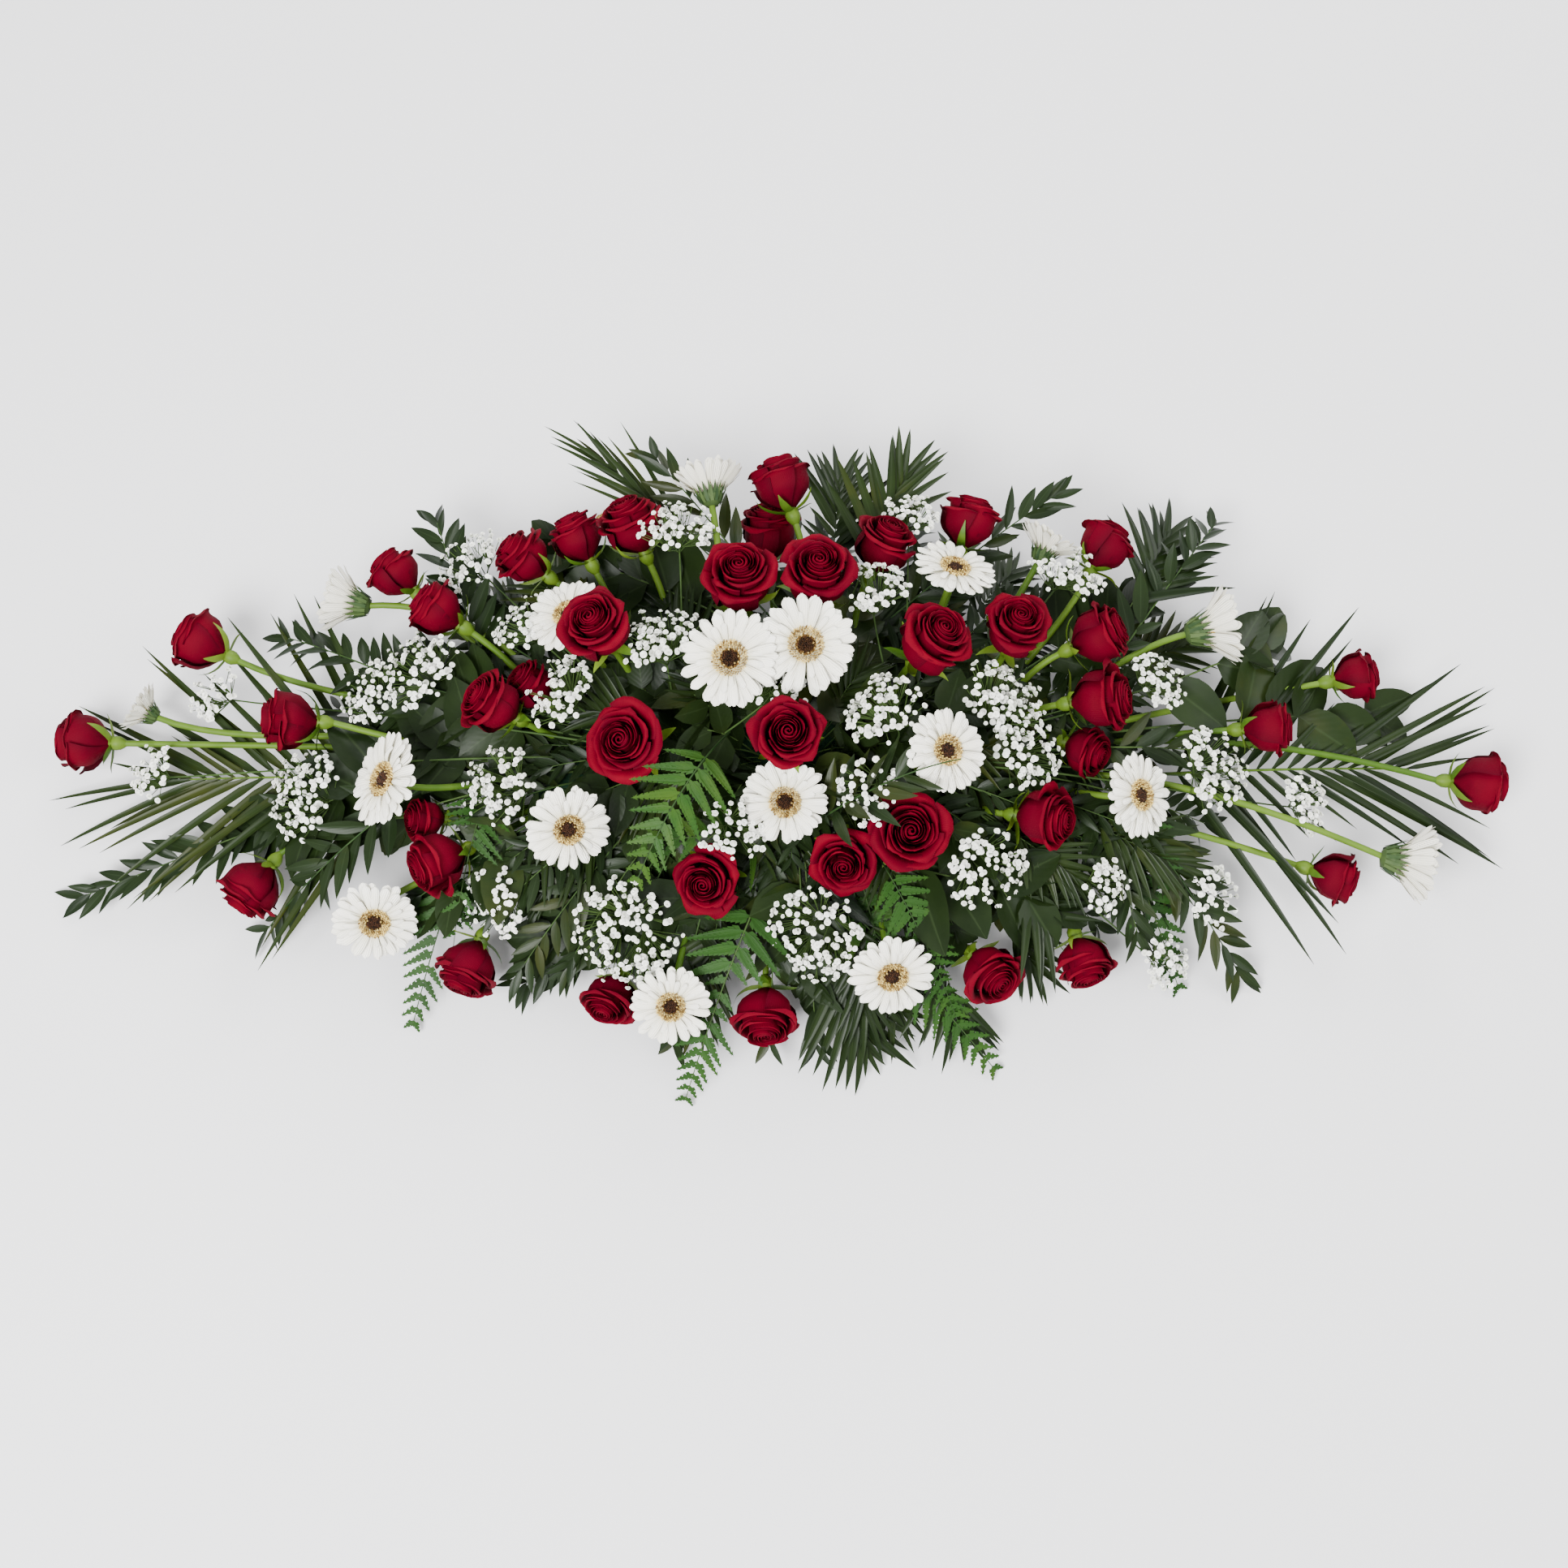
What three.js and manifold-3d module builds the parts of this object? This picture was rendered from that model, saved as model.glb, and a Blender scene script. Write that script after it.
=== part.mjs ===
// A double-ended casket spray: red roses, white mini gerberas and gypsophila over mixed greenery,
// their stems pushed into wet floral foam in a long plastic tray.
// Millimetres. +X runs along the spray, +Y to its back, +Z up, and the origin is the centre of the
// tray's underside.
import * as THREE from "three";
import Module from "manifold-3d";

const wasm = await Module();
wasm.setup();

// Driving dimensions of the holder
const TRAY = { length: 480, width: 132, height: 38, wall: 2.2, corner: 16, draft: 6, lip: 3 };
const FOAM = { length: 466, width: 118, top: 88, taper: 6.5 };
const GAP = 0.4; // clearance round a stem in its hole, and between pieces that touch

// Driving dimensions of the plants
const STEM_RADIUS = 2.8; // to the corners of its three sides
const STEM_SIDES = 3;
const STEM_RISE = 60; // stems arch over the tray's rim at about this height
const STEM_RISE_SHARE = 0.1; // and by this share of their reach
const HIP = { length: 11, radius: 6.5 }; // the swelling under a rose
const SEPALS = { tip: 18, notch: 6 }; // radii of the star of five sepals
const SUNK = 5; // how far a gerbera's stem runs on into its cup
const STALK_RADIUS = 3; // of a bough or a spray, where it stands in the foam
const GYPSOPHILA_RADIUS = 1.3;
const RIB_WIDTH = 1.7; // half the width of a rib at its foot
const RIB_DEPTH = 1.5; // half its depth there, which is also the leaflets' half thickness at the rib
const DROOP = 0.08; // how far a leaflet's tip hangs, as a share of its length
const SPARE = 1.2; // extra thickness and width of a leaf when its room is tested
const LOWEST = 1.2; // no leaf hangs closer to the surface than this

// Where a flower's foot stands in the foam, as shares of its head's x, y and z, within these limits
const FOOT = { shareX: 0.6, shareY: 0.2, shareZ: 0.3, maxX: 205, maxY: 40, low: 38, high: 56 };

// Roses: number, centre of the head x, y, z, the way it faces as azimuth and elevation, and width
const ROSES = [
  [1, -5, 250, 140, 110, 12, 70],
  [2, -18, 218, 98, 95, 38, 72],
  [3, -145, 205, 146, 120, 40, 72],
  [4, -198, 203, 123, 120, 25, 64],
  [5, -248, 183, 121, 150, 30, 66],
  [6, -374, 176, 96, 140, 12, 62],
  [7, -327, 130, 125, 150, 20, 66],
  [8, -562, 116, 70, 155, 5, 70],
  [9, -675, 25, 44, 178, 0, 70],
  [10, -465, 30, 100, 180, 12, 70],
  [11, -268, 30, 148, 160, 40, 68],
  [12, -236, 53, 130, 150, 35, 56],
  [13, -168, 82, 208, 150, 72, 76],
  [14, -42, 130, 202, 100, 75, 80],
  [15, 27, 134, 202, 80, 75, 80],
  [16, 88, 180, 160, 60, 45, 70],
  [17, 170, 212, 138, 75, 15, 66],
  [18, 300, 198, 112, 62, 5, 64],
  [19, 128, 72, 202, 30, 62, 80],
  [20, 207, 95, 170, 60, 72, 72],
  [21, 287, 100, 138, 20, 25, 69],
  [22, 287, 38, 140, 0, 25, 74],
  [23, 277, 0, 106, -30, 25, 56],
  [24, 450, 25, 92, 0, 12, 62],
  [25, 545, 85, 62, 10, 5, 58],
  [26, 660, -15, 44, -3, 0, 70],
  [27, 511, -111, 60, -20, 5, 60],
  [28, 232, -72, 132, -15, 30, 70],
  [29, 108, -88, 150, -80, 75, 84],
  [30, 52, -110, 136, -100, 55, 72],
  [31, 0, -20, 222, -80, 82, 76],
  [32, -140, -15, 180, -150, 72, 84],
  [33, -70, -128, 132, -115, 60, 74],
  [34, -320, -105, 100, -150, 20, 70],
  [35, -500, -120, 55, -125, 0, 70],
  [36, -295, -195, 58, -110, 8, 70],
  [37, -163, -222, 52, -110, 25, 62],
  [38, -20, -240, 66, -90, 22, 72],
  [39, 185, -202, 70, -55, 35, 68],
  [40, 275, -190, 60, -75, 12, 62],
  [41, -336, -62, 86, -170, 30, 50],
];

// Gerberas: number, centre of the face x, y, z, azimuth, elevation, width, and how far the petal
// tips lean forward, as a share of the width
const GERBERAS = [
  [1, -612, 50, 57, 150, 20, 62, 0.2],
  [2, -412, 150, 88, 165, 0, 84, 0.28],
  [3, -362, -42, 152, 175, 48, 94, 0.02],
  [4, -380, -157, 80, -75, 50, 84, 0.02],
  [5, -200, 112, 158, 130, 70, 84, 0.02],
  [6, -172, 239, 82, 110, 35, 66, 0.03],
  [7, -72, 233, 160, 99, 0, 80, 0.26],
  [8, -50, 49, 224, -135, 76, 94, 0.02],
  [9, 16, 61, 226, -80, 80, 94, 0.02],
  [10, 152, 148, 182, 70, 55, 82, 0.03],
  [11, 243, 190, 122, 60, 15, 74, 0.2],
  [12, 138, -32, 214, -20, 65, 80, 0.02],
  [13, -2, -65, 166, -95, 60, 84, 0.02],
  [14, -195, -90, 165, -60, 55, 82, 0.02],
  [15, 320, -50, 128, -10, 52, 84, 0.02],
  [16, 390, 115, 110, 12, 3, 96, 0.28],
  [17, 568, -98, 74, -10, 0, 94, 0.28],
  [18, -105, -238, 96, -90, 68, 78, 0.02],
  [19, 95, -210, 98, -85, 50, 84, 0.02],
];

// Roses whose petals press into each other and hold together as one body
const PRESSED = [[1, 2], [3, 4, 5], [11, 12], [14, 15], [21, 22, 23], [29, 30], [34, 41]];
const PRESSED_GERBERAS = [[8, 9]];

// Gypsophila: the middle of each puff x, y, z and its radius, and where each spray of them forks
const GYPSOPHILA = {
  gypsophila_left: [
    [-605, -8, 52, 26], [-550, 70, 60, 28], [-452, -38, 80, 40], [-345, 78, 112, 40],
    [-300, 190, 100, 34], [-262, -42, 128, 36], [-205, 35, 165, 34], [-100, 190, 178, 34],
    [-112, 78, 190, 38], [-145, -172, 104, 48], [-268, -140, 82, 32], [-48, -92, 160, 30],
    [-10, 22, 206, 30], [-395, 60, 90, 30], [-240, 110, 140, 30],
  ],
  gypsophila_right: [
    [85, 10, 205, 36], [75, 125, 190, 34], [196, 30, 162, 40], [217, -8, 140, 36],
    [72, -62, 188, 30], [180, -118, 122, 36], [25, -175, 108, 42], [290, -128, 96, 26],
    [398, -15, 92, 38], [488, -42, 68, 28], [400, -130, 56, 28], [262, 165, 135, 34],
    [345, 62, 122, 28], [352, -190, 46, 24], [115, 215, 150, 26],
  ],
};
const SPRAYS = {
  gypsophila_left: [[-95, -12, 58], [-95, -12, 104]],
  gypsophila_right: [[95, -12, 58], [95, -12, 104]],
};
const FLORET = { count: 6, radius: 5.6, stalk: 0.9 };

const COLOUR = {
  tray: [0x1f4a2a, 0.45],
  foam: [0x2f6b45, 0.95],
  stem: [0x7f9f48, 0.55],
  rose: [0x9c0d16, 0.6],
  gerbera: [0xf4f0e6, 0.6],
  gypsophila: [0xf2f3ea, 0.8],
  palm: [0x1f3d1a, 0.5],
  leaf: [0x24451f, 0.45],
};

const TURN = 2 * Math.PI;
const GOLDEN_ANGLE = 2.4;
const at = (p) => new THREE.Vector3(...p);
const plus = (p, dir, amount) => p.clone().addScaledVector(dir, amount);
const mix = (p, q, t) => p.clone().lerp(q, t);
const UP = at([0, 0, 1]);
const clamp = THREE.MathUtils.clamp;

// The unit vector that points along an azimuth and elevation given in degrees
function facing(azimuth, elevation) {
  const [a, e] = [azimuth, elevation].map(THREE.MathUtils.degToRad);
  return at([Math.cos(e) * Math.cos(a), Math.cos(e) * Math.sin(a), Math.sin(e)]);
}

// Right-handed axes round a direction: side, up, axis
function axesOf(axis, hint = UP) {
  const side = hint.clone().cross(axis);
  if (side.lengthSq() < 1e-4) side.set(1, 0, 0).cross(axis);
  side.normalize();
  return { axis, side, up: axis.clone().cross(side) };
}

// The point at a radius, an angle and a height in a set of axes
function polar(centre, axes, radius, angle, height = 0) {
  const flat = plus(centre, axes.side, radius * Math.cos(angle));
  return plus(plus(flat, axes.up, radius * Math.sin(angle)), axes.axis, height);
}

// The level direction square to the way from one point to another
const asideOf = (p, q) => at([p.y - q.y, q.x - p.x, 0]).normalize();

// A ring of points in a set of axes; odd points can take a radius and a height of their own
function ring(centre, axes, count, radius, height = 0, turn = 0, odd = [radius, height]) {
  return Array.from({ length: count }, (_, k) => {
    const [r, h] = k % 2 ? odd : [radius, height];
    return polar(centre, axes, r, ((k + turn) / count) * TURN, h);
  });
}

// A solid from its points and its triangles
function solidOf(points, faces) {
  const vertProperties = Float32Array.from(points.flatMap((p) => [p.x, p.y, p.z]));
  const triVerts = Uint32Array.from(faces.flat());
  return new wasm.Manifold(new wasm.Mesh({ numProp: 3, vertProperties, triVerts }));
}

// A closed solid skinned over rings of points, each seen anticlockwise from the next. Neighbours may
// differ in their count, and the first and the last ring are closed by a flat face or are points.
function skin(rings) {
  const faces = rings[0].slice(2).map((_, k) => [0, k + 2, k + 1]);
  let start = 0;
  for (let k = 0; k + 1 < rings.length; k++) {
    const [n, m] = [rings[k].length, rings[k + 1].length];
    const lower = (i) => start + (i % n);
    const upper = (j) => start + n + (j % m);
    let [i, j] = [n === 1 ? 1 : 0, m === 1 ? 1 : 0];
    while (i < n || j < m) {
      if (j >= m || (i < n && (i + 0.5) / n < (j + 0.5) / m)) {
        faces.push([lower(i), lower(i + 1), upper(j)]);
        i++;
      } else {
        faces.push([lower(i), upper(j + 1), upper(j)]);
        j++;
      }
    }
    start += n;
  }
  rings[rings.length - 1].slice(2).forEach((_, k) => faces.push([start, start + k + 1, start + k + 2]));
  return solidOf(rings.flat(), faces);
}

// The one body of a fused solid: sealed hollows are filled and loose scraps are dropped
function oneBody(solid) {
  const bodies = solid.decompose();
  return bodies.reduce((a, b) => (b.volume() > a.volume() ? b : a));
}

const joined = (solids) => oneBody(wasm.Manifold.union(solids));

// Rings along a path of points, carried without twist; radius is a number or a function of 0 to 1
function pathRings(points, radius, sides) {
  const last = points.length - 1;
  let axes;
  const rings = points.map((p, k) => {
    const ahead = points[Math.min(k + 1, last)].clone().sub(points[Math.max(k - 1, 0)]).normalize();
    axes = axesOf(ahead, axes && ahead.clone().cross(axes.side));
    const r = typeof radius === "number" ? radius : radius(k / last);
    return ring(p, axes, sides, r);
  });
  return { rings, axes };
}

// A rod along a path, flat at both ends
function rod(points, radius, sides = STEM_SIDES) {
  return skin(pathRings(points, radius, sides).rings);
}

// The holes that the stems need in the foam
const holes = [];

// What has been placed so far, with the boxes that make the test for room quick
const placed = [];
function settle(solid, owner) {
  placed.push({ solid, owner, box: solid.boundingBox() });
  return solid;
}

// True where a solid touches nothing that another owner has placed and stays above the surface
function isClear(solid, owner) {
  const { min, max } = solid.boundingBox();
  if (min[2] < LOWEST) return false;
  return placed.every((other) => {
    const apart = [0, 1, 2].some((k) => min[k] > other.box.max[k] || max[k] < other.box.min[k]);
    return apart || other.owner === owner || other.solid.intersect(solid).isEmpty();
  });
}

// Dips of a piece below its line and swings to its side, in the order they are tried
const DIPS = [0, 12, -12, 24, -24, 36];
const SWINGS = [0, 14, -14];
const WIDE_SWINGS = [0, 14, -14, 28, -28, 42, -42, 56, -56];

// The first of the bends that leaves a piece clear of everything placed, or nothing
function firstClear(make, owner, swings = SWINGS) {
  for (const dip of DIPS) {
    for (const swing of swings) {
      const piece = make(dip, swing);
      if (isClear(piece.room, owner)) return piece;
    }
  }
  return null;
}

// Tray: an open rounded box, its profile carried round one outline
function roundedOutline(length, width, corner, z) {
  const steps = 3;
  const corners = [[1, -1], [1, 1], [-1, 1], [-1, -1]];
  return corners.flatMap(([sx, sy], q) =>
    Array.from({ length: steps + 1 }, (_, k) => {
      const angle = ((q - 1 + k / steps) * TURN) / 4;
      const x = sx * (length / 2 - corner) + corner * Math.cos(angle);
      const y = sy * (width / 2 - corner) + corner * Math.sin(angle);
      return at([x, y, z]);
    }),
  );
}

function tray() {
  const { length, width, height, wall, corner, draft, lip } = TRAY;
  const outline = (inset, z) =>
    roundedOutline(length - 2 * inset, width - 2 * inset, corner - inset / 2, z);
  return skin([
    outline(draft, 0),
    outline(0, height - lip),
    outline(-lip, height),
    outline(wall - lip, height + 0.5 * wall),
    outline(wall, height - lip),
    outline(draft + wall, wall),
  ]);
}

// Foam: a long block, a little narrower at its foot like the tray, with a plain hole for every stem
function foam(holes) {
  const base = TRAY.wall + GAP;
  const { length, width, top, taper } = FOAM;
  const outline = (inset, z) =>
    [[1, -1], [1, 1], [-1, 1], [-1, -1]].map(([sx, sy]) =>
      at([sx * (length / 2 - inset), sy * (width / 2 - inset), z]),
    );
  const block = skin([outline(taper, base), outline(0, top)]);
  return oneBody(block.subtract(wasm.Manifold.union(holes)));
}

// Rose head: cups of petals nested in layers round a tight heart, as shares of the head's width.
// Each row: points, radius and height of the petal tips, radius and height between them, turn
const ROSE_ROWS = [
  [5, 0.41, -0.15],
  [10, 0.5, 0.11, 0.42, 0.05, 0],
  [5, 0.35, 0.03],
  [10, 0.4, 0.25, 0.31, 0.18, 1],
  [5, 0.25, 0.12, 0, 0, 0.5],
  [5, 0.27, 0.34, 0, 0, 0.2],
  [5, 0.15, 0.24, 0, 0, 0.4],
  [5, 0.14, 0.39, 0, 0, 0.8],
];
const ROSE_BASE = 0.4;

function roseHead([, x, y, z, azimuth, elevation, width]) {
  const centre = at([x, y, z]);
  const axes = axesOf(facing(azimuth, elevation));
  const rows = ROSE_ROWS.map(([count, r, h, r2, h2, turn = 0]) =>
    ring(centre, axes, count, r * width, h * width, turn,
      r2 ? [r2 * width, h2 * width] : undefined),
  );
  const base = plus(centre, axes.axis, -ROSE_BASE * width);
  return skin([[base], ...rows, [plus(centre, axes.axis, 0.3 * width)]]);
}

// Gerbera head: a star of petals round a raised disc of florets, with its green cup behind
const GERBERA_PETALS = 16;
const GERBERA_CUP = 0.16;

function gerberaHead([, x, y, z, azimuth, elevation, width, lean]) {
  const centre = at([x, y, z]);
  const axes = axesOf(facing(azimuth, elevation));
  const row = (count, r, h, odd) => ring(centre, axes, count, r * width, h, 0, odd);
  const spread = Math.sqrt(0.25 - lean * lean); // petals keep their length as they lean
  const tip = lean * width;
  return skin([
    [plus(centre, axes.axis, -GERBERA_CUP * width)],
    row(8, 0.12, -2),
    row(2 * GERBERA_PETALS, spread, tip, [0.72 * spread * width, 0.6 * tip]),
    row(8, 0.22, 1.2 + 0.3 * tip),
    row(8, 0.15, 3.6),
    [plus(centre, axes.axis, 2.6)],
  ]);
}

// The plain hole that a stem stands in: a little wider and deeper than its path inside the foam
function holeRound(path, radius, sides) {
  const outside = ({ x, y, z }) =>
    z > FOAM.top + 9 || Math.abs(y) > FOAM.width / 2 + 9 || Math.abs(x) > FOAM.length / 2 + 9;
  const deep = path[0].clone().sub(path[1]).normalize();
  const inside = path.slice(1, 2 + Math.max(0, path.slice(1).findIndex(outside)));
  return rod([plus(path[0], deep, 1.5), ...inside], radius + 2 * GAP, sides);
}

// The path of a stem: from its foot in the foam, curving to enter its bloom square on
function stemPath(foot, neck, axis, dip, swing) {
  const reach = foot.distanceTo(neck);
  const out = neck.clone().sub(foot).setZ(0).normalize();
  const aside = asideOf(foot, neck);
  const rise = STEM_RISE_SHARE * reach + 0.35 * Math.max(0, neck.z - foot.z) + dip;
  const start = plus(plus(foot, out, 0.34 * reach), aside, swing).setZ(foot.z + rise);
  const approach = plus(plus(neck, axis, -0.3 * reach), aside, swing);
  approach.z = Math.max(approach.z, (neck.z + STEM_RISE) / 2);
  const steps = reach > 220 ? 3 : 2;
  return new THREE.CubicBezierCurve3(foot, start, approach, neck).getPoints(steps);
}

// A flower: its head fused to its stem, which bends clear of the other flowers; a rose's stem swells
// into a hip with five turned-back sepals under the head
function flowerStem(row, name, base, calyx) {
  const [, x, y, z, azimuth, elevation, width] = row;
  const axis = facing(azimuth, elevation);
  const seat = plus(at([x, y, z]), axis, -base * width);
  const neck = plus(seat, axis, calyx ? -HIP.length : SUNK);
  const foot = at([
    clamp(FOOT.shareX * x, -FOOT.maxX, FOOT.maxX),
    clamp(FOOT.shareY * y, -FOOT.maxY, FOOT.maxY),
    clamp(FOOT.shareZ * z, FOOT.low, FOOT.high),
  ]);
  const { path } = firstClear((dip, swing) => {
    const moved = plus(foot, asideOf(foot, neck), 0.5 * swing);
    const path = stemPath(moved, neck, axis, dip, swing);
    return { path, room: rod(path, STEM_RADIUS + SPARE) };
  }, name, WIDE_SWINGS);
  const { rings, axes } = pathRings(path, STEM_RADIUS, STEM_SIDES);
  const hip = axesOf(axis, axis.clone().cross(axes.side));
  const swelling = [
    ring(seat, hip, 5, HIP.radius, -0.45 * HIP.length),
    ring(seat, hip, 10, SEPALS.tip, -3, 0, [SEPALS.notch, 1]),
  ];
  const stem = skin([...rings, ...(calyx ? swelling : []), [plus(seat, axis, calyx ? 3 : SUNK + 2)]]);
  settle(stem, name);
  holes.push(holeRound(path, STEM_RADIUS));
  return stem;
}

const spray = new THREE.Group();

function add(name, solid, [color, roughness]) {
  const mesh = solid.getMesh();
  const geometry = new THREE.BufferGeometry();
  geometry.setAttribute("position", new THREE.BufferAttribute(mesh.vertProperties, 3));
  geometry.setIndex(new THREE.BufferAttribute(mesh.triVerts, 1));
  const material = new THREE.MeshStandardMaterial({ color, roughness, metalness: 0 });
  const piece = new THREE.Mesh(geometry, material);
  piece.name = name;
  spray.add(piece);
}

// Flowers: one node each, or one for those whose petals press into each other
function flowerGroups(kind, rows, pressed, head) {
  const alone = rows.map(([number]) => [number]).filter(([n]) => !pressed.flat().includes(n));
  const two = (n) => String(n).padStart(2, "0");
  return [...pressed, ...alone].map((group) => {
    const members = rows.filter(([number]) => group.includes(number));
    const name = `${kind}_${group.map(two).join("_")}`;
    const heads = members.map(head);
    heads.forEach((solid) => settle(solid, name));
    return { name, members, heads };
  });
}

// Greenery. Each frond or leafy twig is one thin blade along its rib, with the outline cut back to the
// rib between the leaflets. A kind gives a leaflet's length and width at the first and the last pair,
// the angle it makes with the rib there, the step from pair to pair, the share of bare stalk, and the
// outline of one leaflet as shares of its length and width.
const POINTED = [[1, 0]];
const OVAL = [[0.45, 0.5], [1, 0], [0.5, -0.42]];
const LANCE = [[0.45, 0.5], [1, 0]];
const LOBED = [[0.3, 0.62], [0.36, 0.3], [0.62, 0.42], [0.68, 0.18], [1, 0], [0.6, -0.3]];
const KINDS = {
  palm: { length: [205, 135], width: [9, 7], angle: [62, 16], step: 17, bare: 0.42, outline: POINTED },
  small_palm: { length: [95, 80], width: [7, 6], angle: [50, 14], step: 13, bare: 0.6, outline: POINTED },
  fern: { length: [62, 12], width: [24, 8], angle: [62, 40], step: 15, bare: 0.45, outline: LOBED },
  drooping_fern: { length: [40, 9], width: [20, 8], angle: [62, 40], step: 13, bare: 0.68, outline: LANCE },
  ruscus: { length: [50, 34], width: [17, 12], angle: [46, 26], step: 20, bare: 0.48, outline: LANCE },
  salal: { length: [82, 56], width: [50, 36], angle: [58, 22], step: 40, bare: 0.62, outline: OVAL },
  grass: { length: [110, 90], width: [6, 5], angle: [16, 8], step: 26, bare: 0.72, outline: POINTED },
};

// Twigs: kind, tip x, y, z, and the height of the arch on the way
const PALMS = {
  palm_left: [["palm", -590, -8, 26, 54]],
  palm_right: [["palm", 600, 2, 30, 56]],
};
const TWIGS = {
  greenery_left: [
    ["ruscus", -340, 236, 80, 105],
    ["ruscus", -485, 130, 45, 90],
    ["salal", -490, -64, 46, 84],
    ["ruscus", -450, -190, 24, 80],
    ["ruscus", -685, -80, 14, 50],
    ["drooping_fern", -390, -222, 10, 70],
  ],
  greenery_right: [
    ["ruscus", 460, 205, 50, 105],
    ["salal", 455, 112, 64, 94],
    ["salal", 565, 40, 40, 70],
    ["ruscus", 455, -165, 22, 80],
    ["ruscus", 350, -150, 60, 90],
    ["drooping_fern", 330, -218, 10, 80],
    ["small_palm", 370, 225, 60, 105],
  ],
  greenery_back: [
    ["ruscus", -115, 290, 130, 120],
    ["small_palm", 110, 262, 120, 120],
    ["ruscus", 262, 238, 112, 118],
    ["salal", -212, 205, 70, 100],
    ["grass", -175, 285, 112, 110],
    ["small_palm", 50, 262, 100, 112],
  ],
  greenery_front: [
    ["ruscus", -245, -205, 26, 70],
    ["drooping_fern", -95, -312, 8, 96],
    ["small_palm", 75, -270, 20, 80],
    ["drooping_fern", 212, -262, 8, 84],
    ["salal", 245, -143, 84, 96],
    ["salal", -215, -165, 50, 80],
    ["fern", -122, -118, 168, 150],
    ["ruscus", 150, -85, 226, 190],
  ],
};
// Where each bough stands in the foam, and where it forks into its twigs just outside
const BOUGHS = {
  palm_left: [[-205, -18, 41]],
  palm_right: [[205, -18, 41]],
  greenery_left: [[-205, 18, 50], [-262, 22, 66]],
  greenery_right: [[205, 18, 50], [262, 22, 66]],
  greenery_back: [[35, 32, 36], [35, 88, 60]],
  greenery_front: [[-5, -32, 40], [-5, -84, 66]],
};

// A twig's path from its fork, over its arch, to its tip, as a curve
function archOver(hub, tip, peak) {
  const mid = mix(hub, tip, 0.5).setZ(2 * peak - (hub.z + tip.z) / 2);
  return new THREE.QuadraticBezierCurve3(hub, mid, tip);
}

// The outline points of one leaflet. Its base is at the rib; hand is 1 on the left and -1 on the right.
function leafletOutline(base, axes, hand, { length, width, angle, outline }, dip, swing, spare = 0) {
  const turn = THREE.MathUtils.degToRad(angle + swing);
  const out = axes.side.clone().multiplyScalar(hand);
  const along = plus(axes.axis.clone().multiplyScalar(Math.cos(turn)), out, Math.sin(turn));
  const back = plus(axes.axis.clone().multiplyScalar(-Math.sin(turn)), out, Math.cos(turn));
  along.addScaledVector(axes.up, -Math.tan(THREE.MathUtils.degToRad(dip))).normalize();
  return outline.map(([far, across]) => {
    const edge = across * width + Math.sign(across) * spare;
    const point = plus(plus(base, along, far * length + spare), back, edge);
    return plus(point, axes.up, -DROOP * length * far * far);
  });
}

// Both faces of a fan of outline points round the upper and lower point of the rib
function fanFaces(edge, top, bottom, hand) {
  return edge.slice(1).flatMap((next, i) => {
    const [a, b] = hand > 0 ? [edge[i], next] : [next, edge[i]];
    return [[a, top, b], [bottom, a, b]];
  });
}

// The space that one leaflet needs, a little thicker and longer than the leaflet
function leafletRoom(from, to, points, axes, hand) {
  const middle = mix(from, to, 0.5);
  const corners = [from, ...points, to];
  const half = RIB_DEPTH + SPARE;
  const all = [...corners, plus(middle, axes.up, half), plus(middle, axes.up, -half)];
  const loop = [...corners.keys(), 0];
  return solidOf(all, fanFaces(loop, corners.length, corners.length + 1, hand));
}

// The blade of a frond along its nodes, each a ring of left, top, right and bottom; leaflets hold the
// extra outline points of each side between one node and the next
function blade(nodes, tip, leaflets) {
  const points = nodes.flat();
  const faces = [[0, 3, 2], [0, 2, 1]];
  for (let k = 0; k + 1 < nodes.length; k++) {
    const [left, top, right, bottom] = [0, 1, 2, 3].map((q) => 4 * k + q);
    for (const hand of [1, -1]) {
      const [from, to] = hand > 0 ? [left, left + 4] : [right, right + 4];
      const extra = (leaflets[k]?.[hand] ?? []).map((p) => points.push(p) - 1);
      faces.push(...fanFaces([from, ...extra, to], top, bottom, hand));
      const [a, b] = hand > 0 ? [top, bottom] : [bottom, top];
      faces.push([a, a + 4, to], [b, to, b + 4]);
    }
  }
  const last = 4 * (nodes.length - 1);
  const end = points.push(tip) - 1;
  [0, 1, 2, 3].forEach((q) => faces.push([last + q, last + ((q + 1) % 4), end]));
  return solidOf(points, faces);
}

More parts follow.
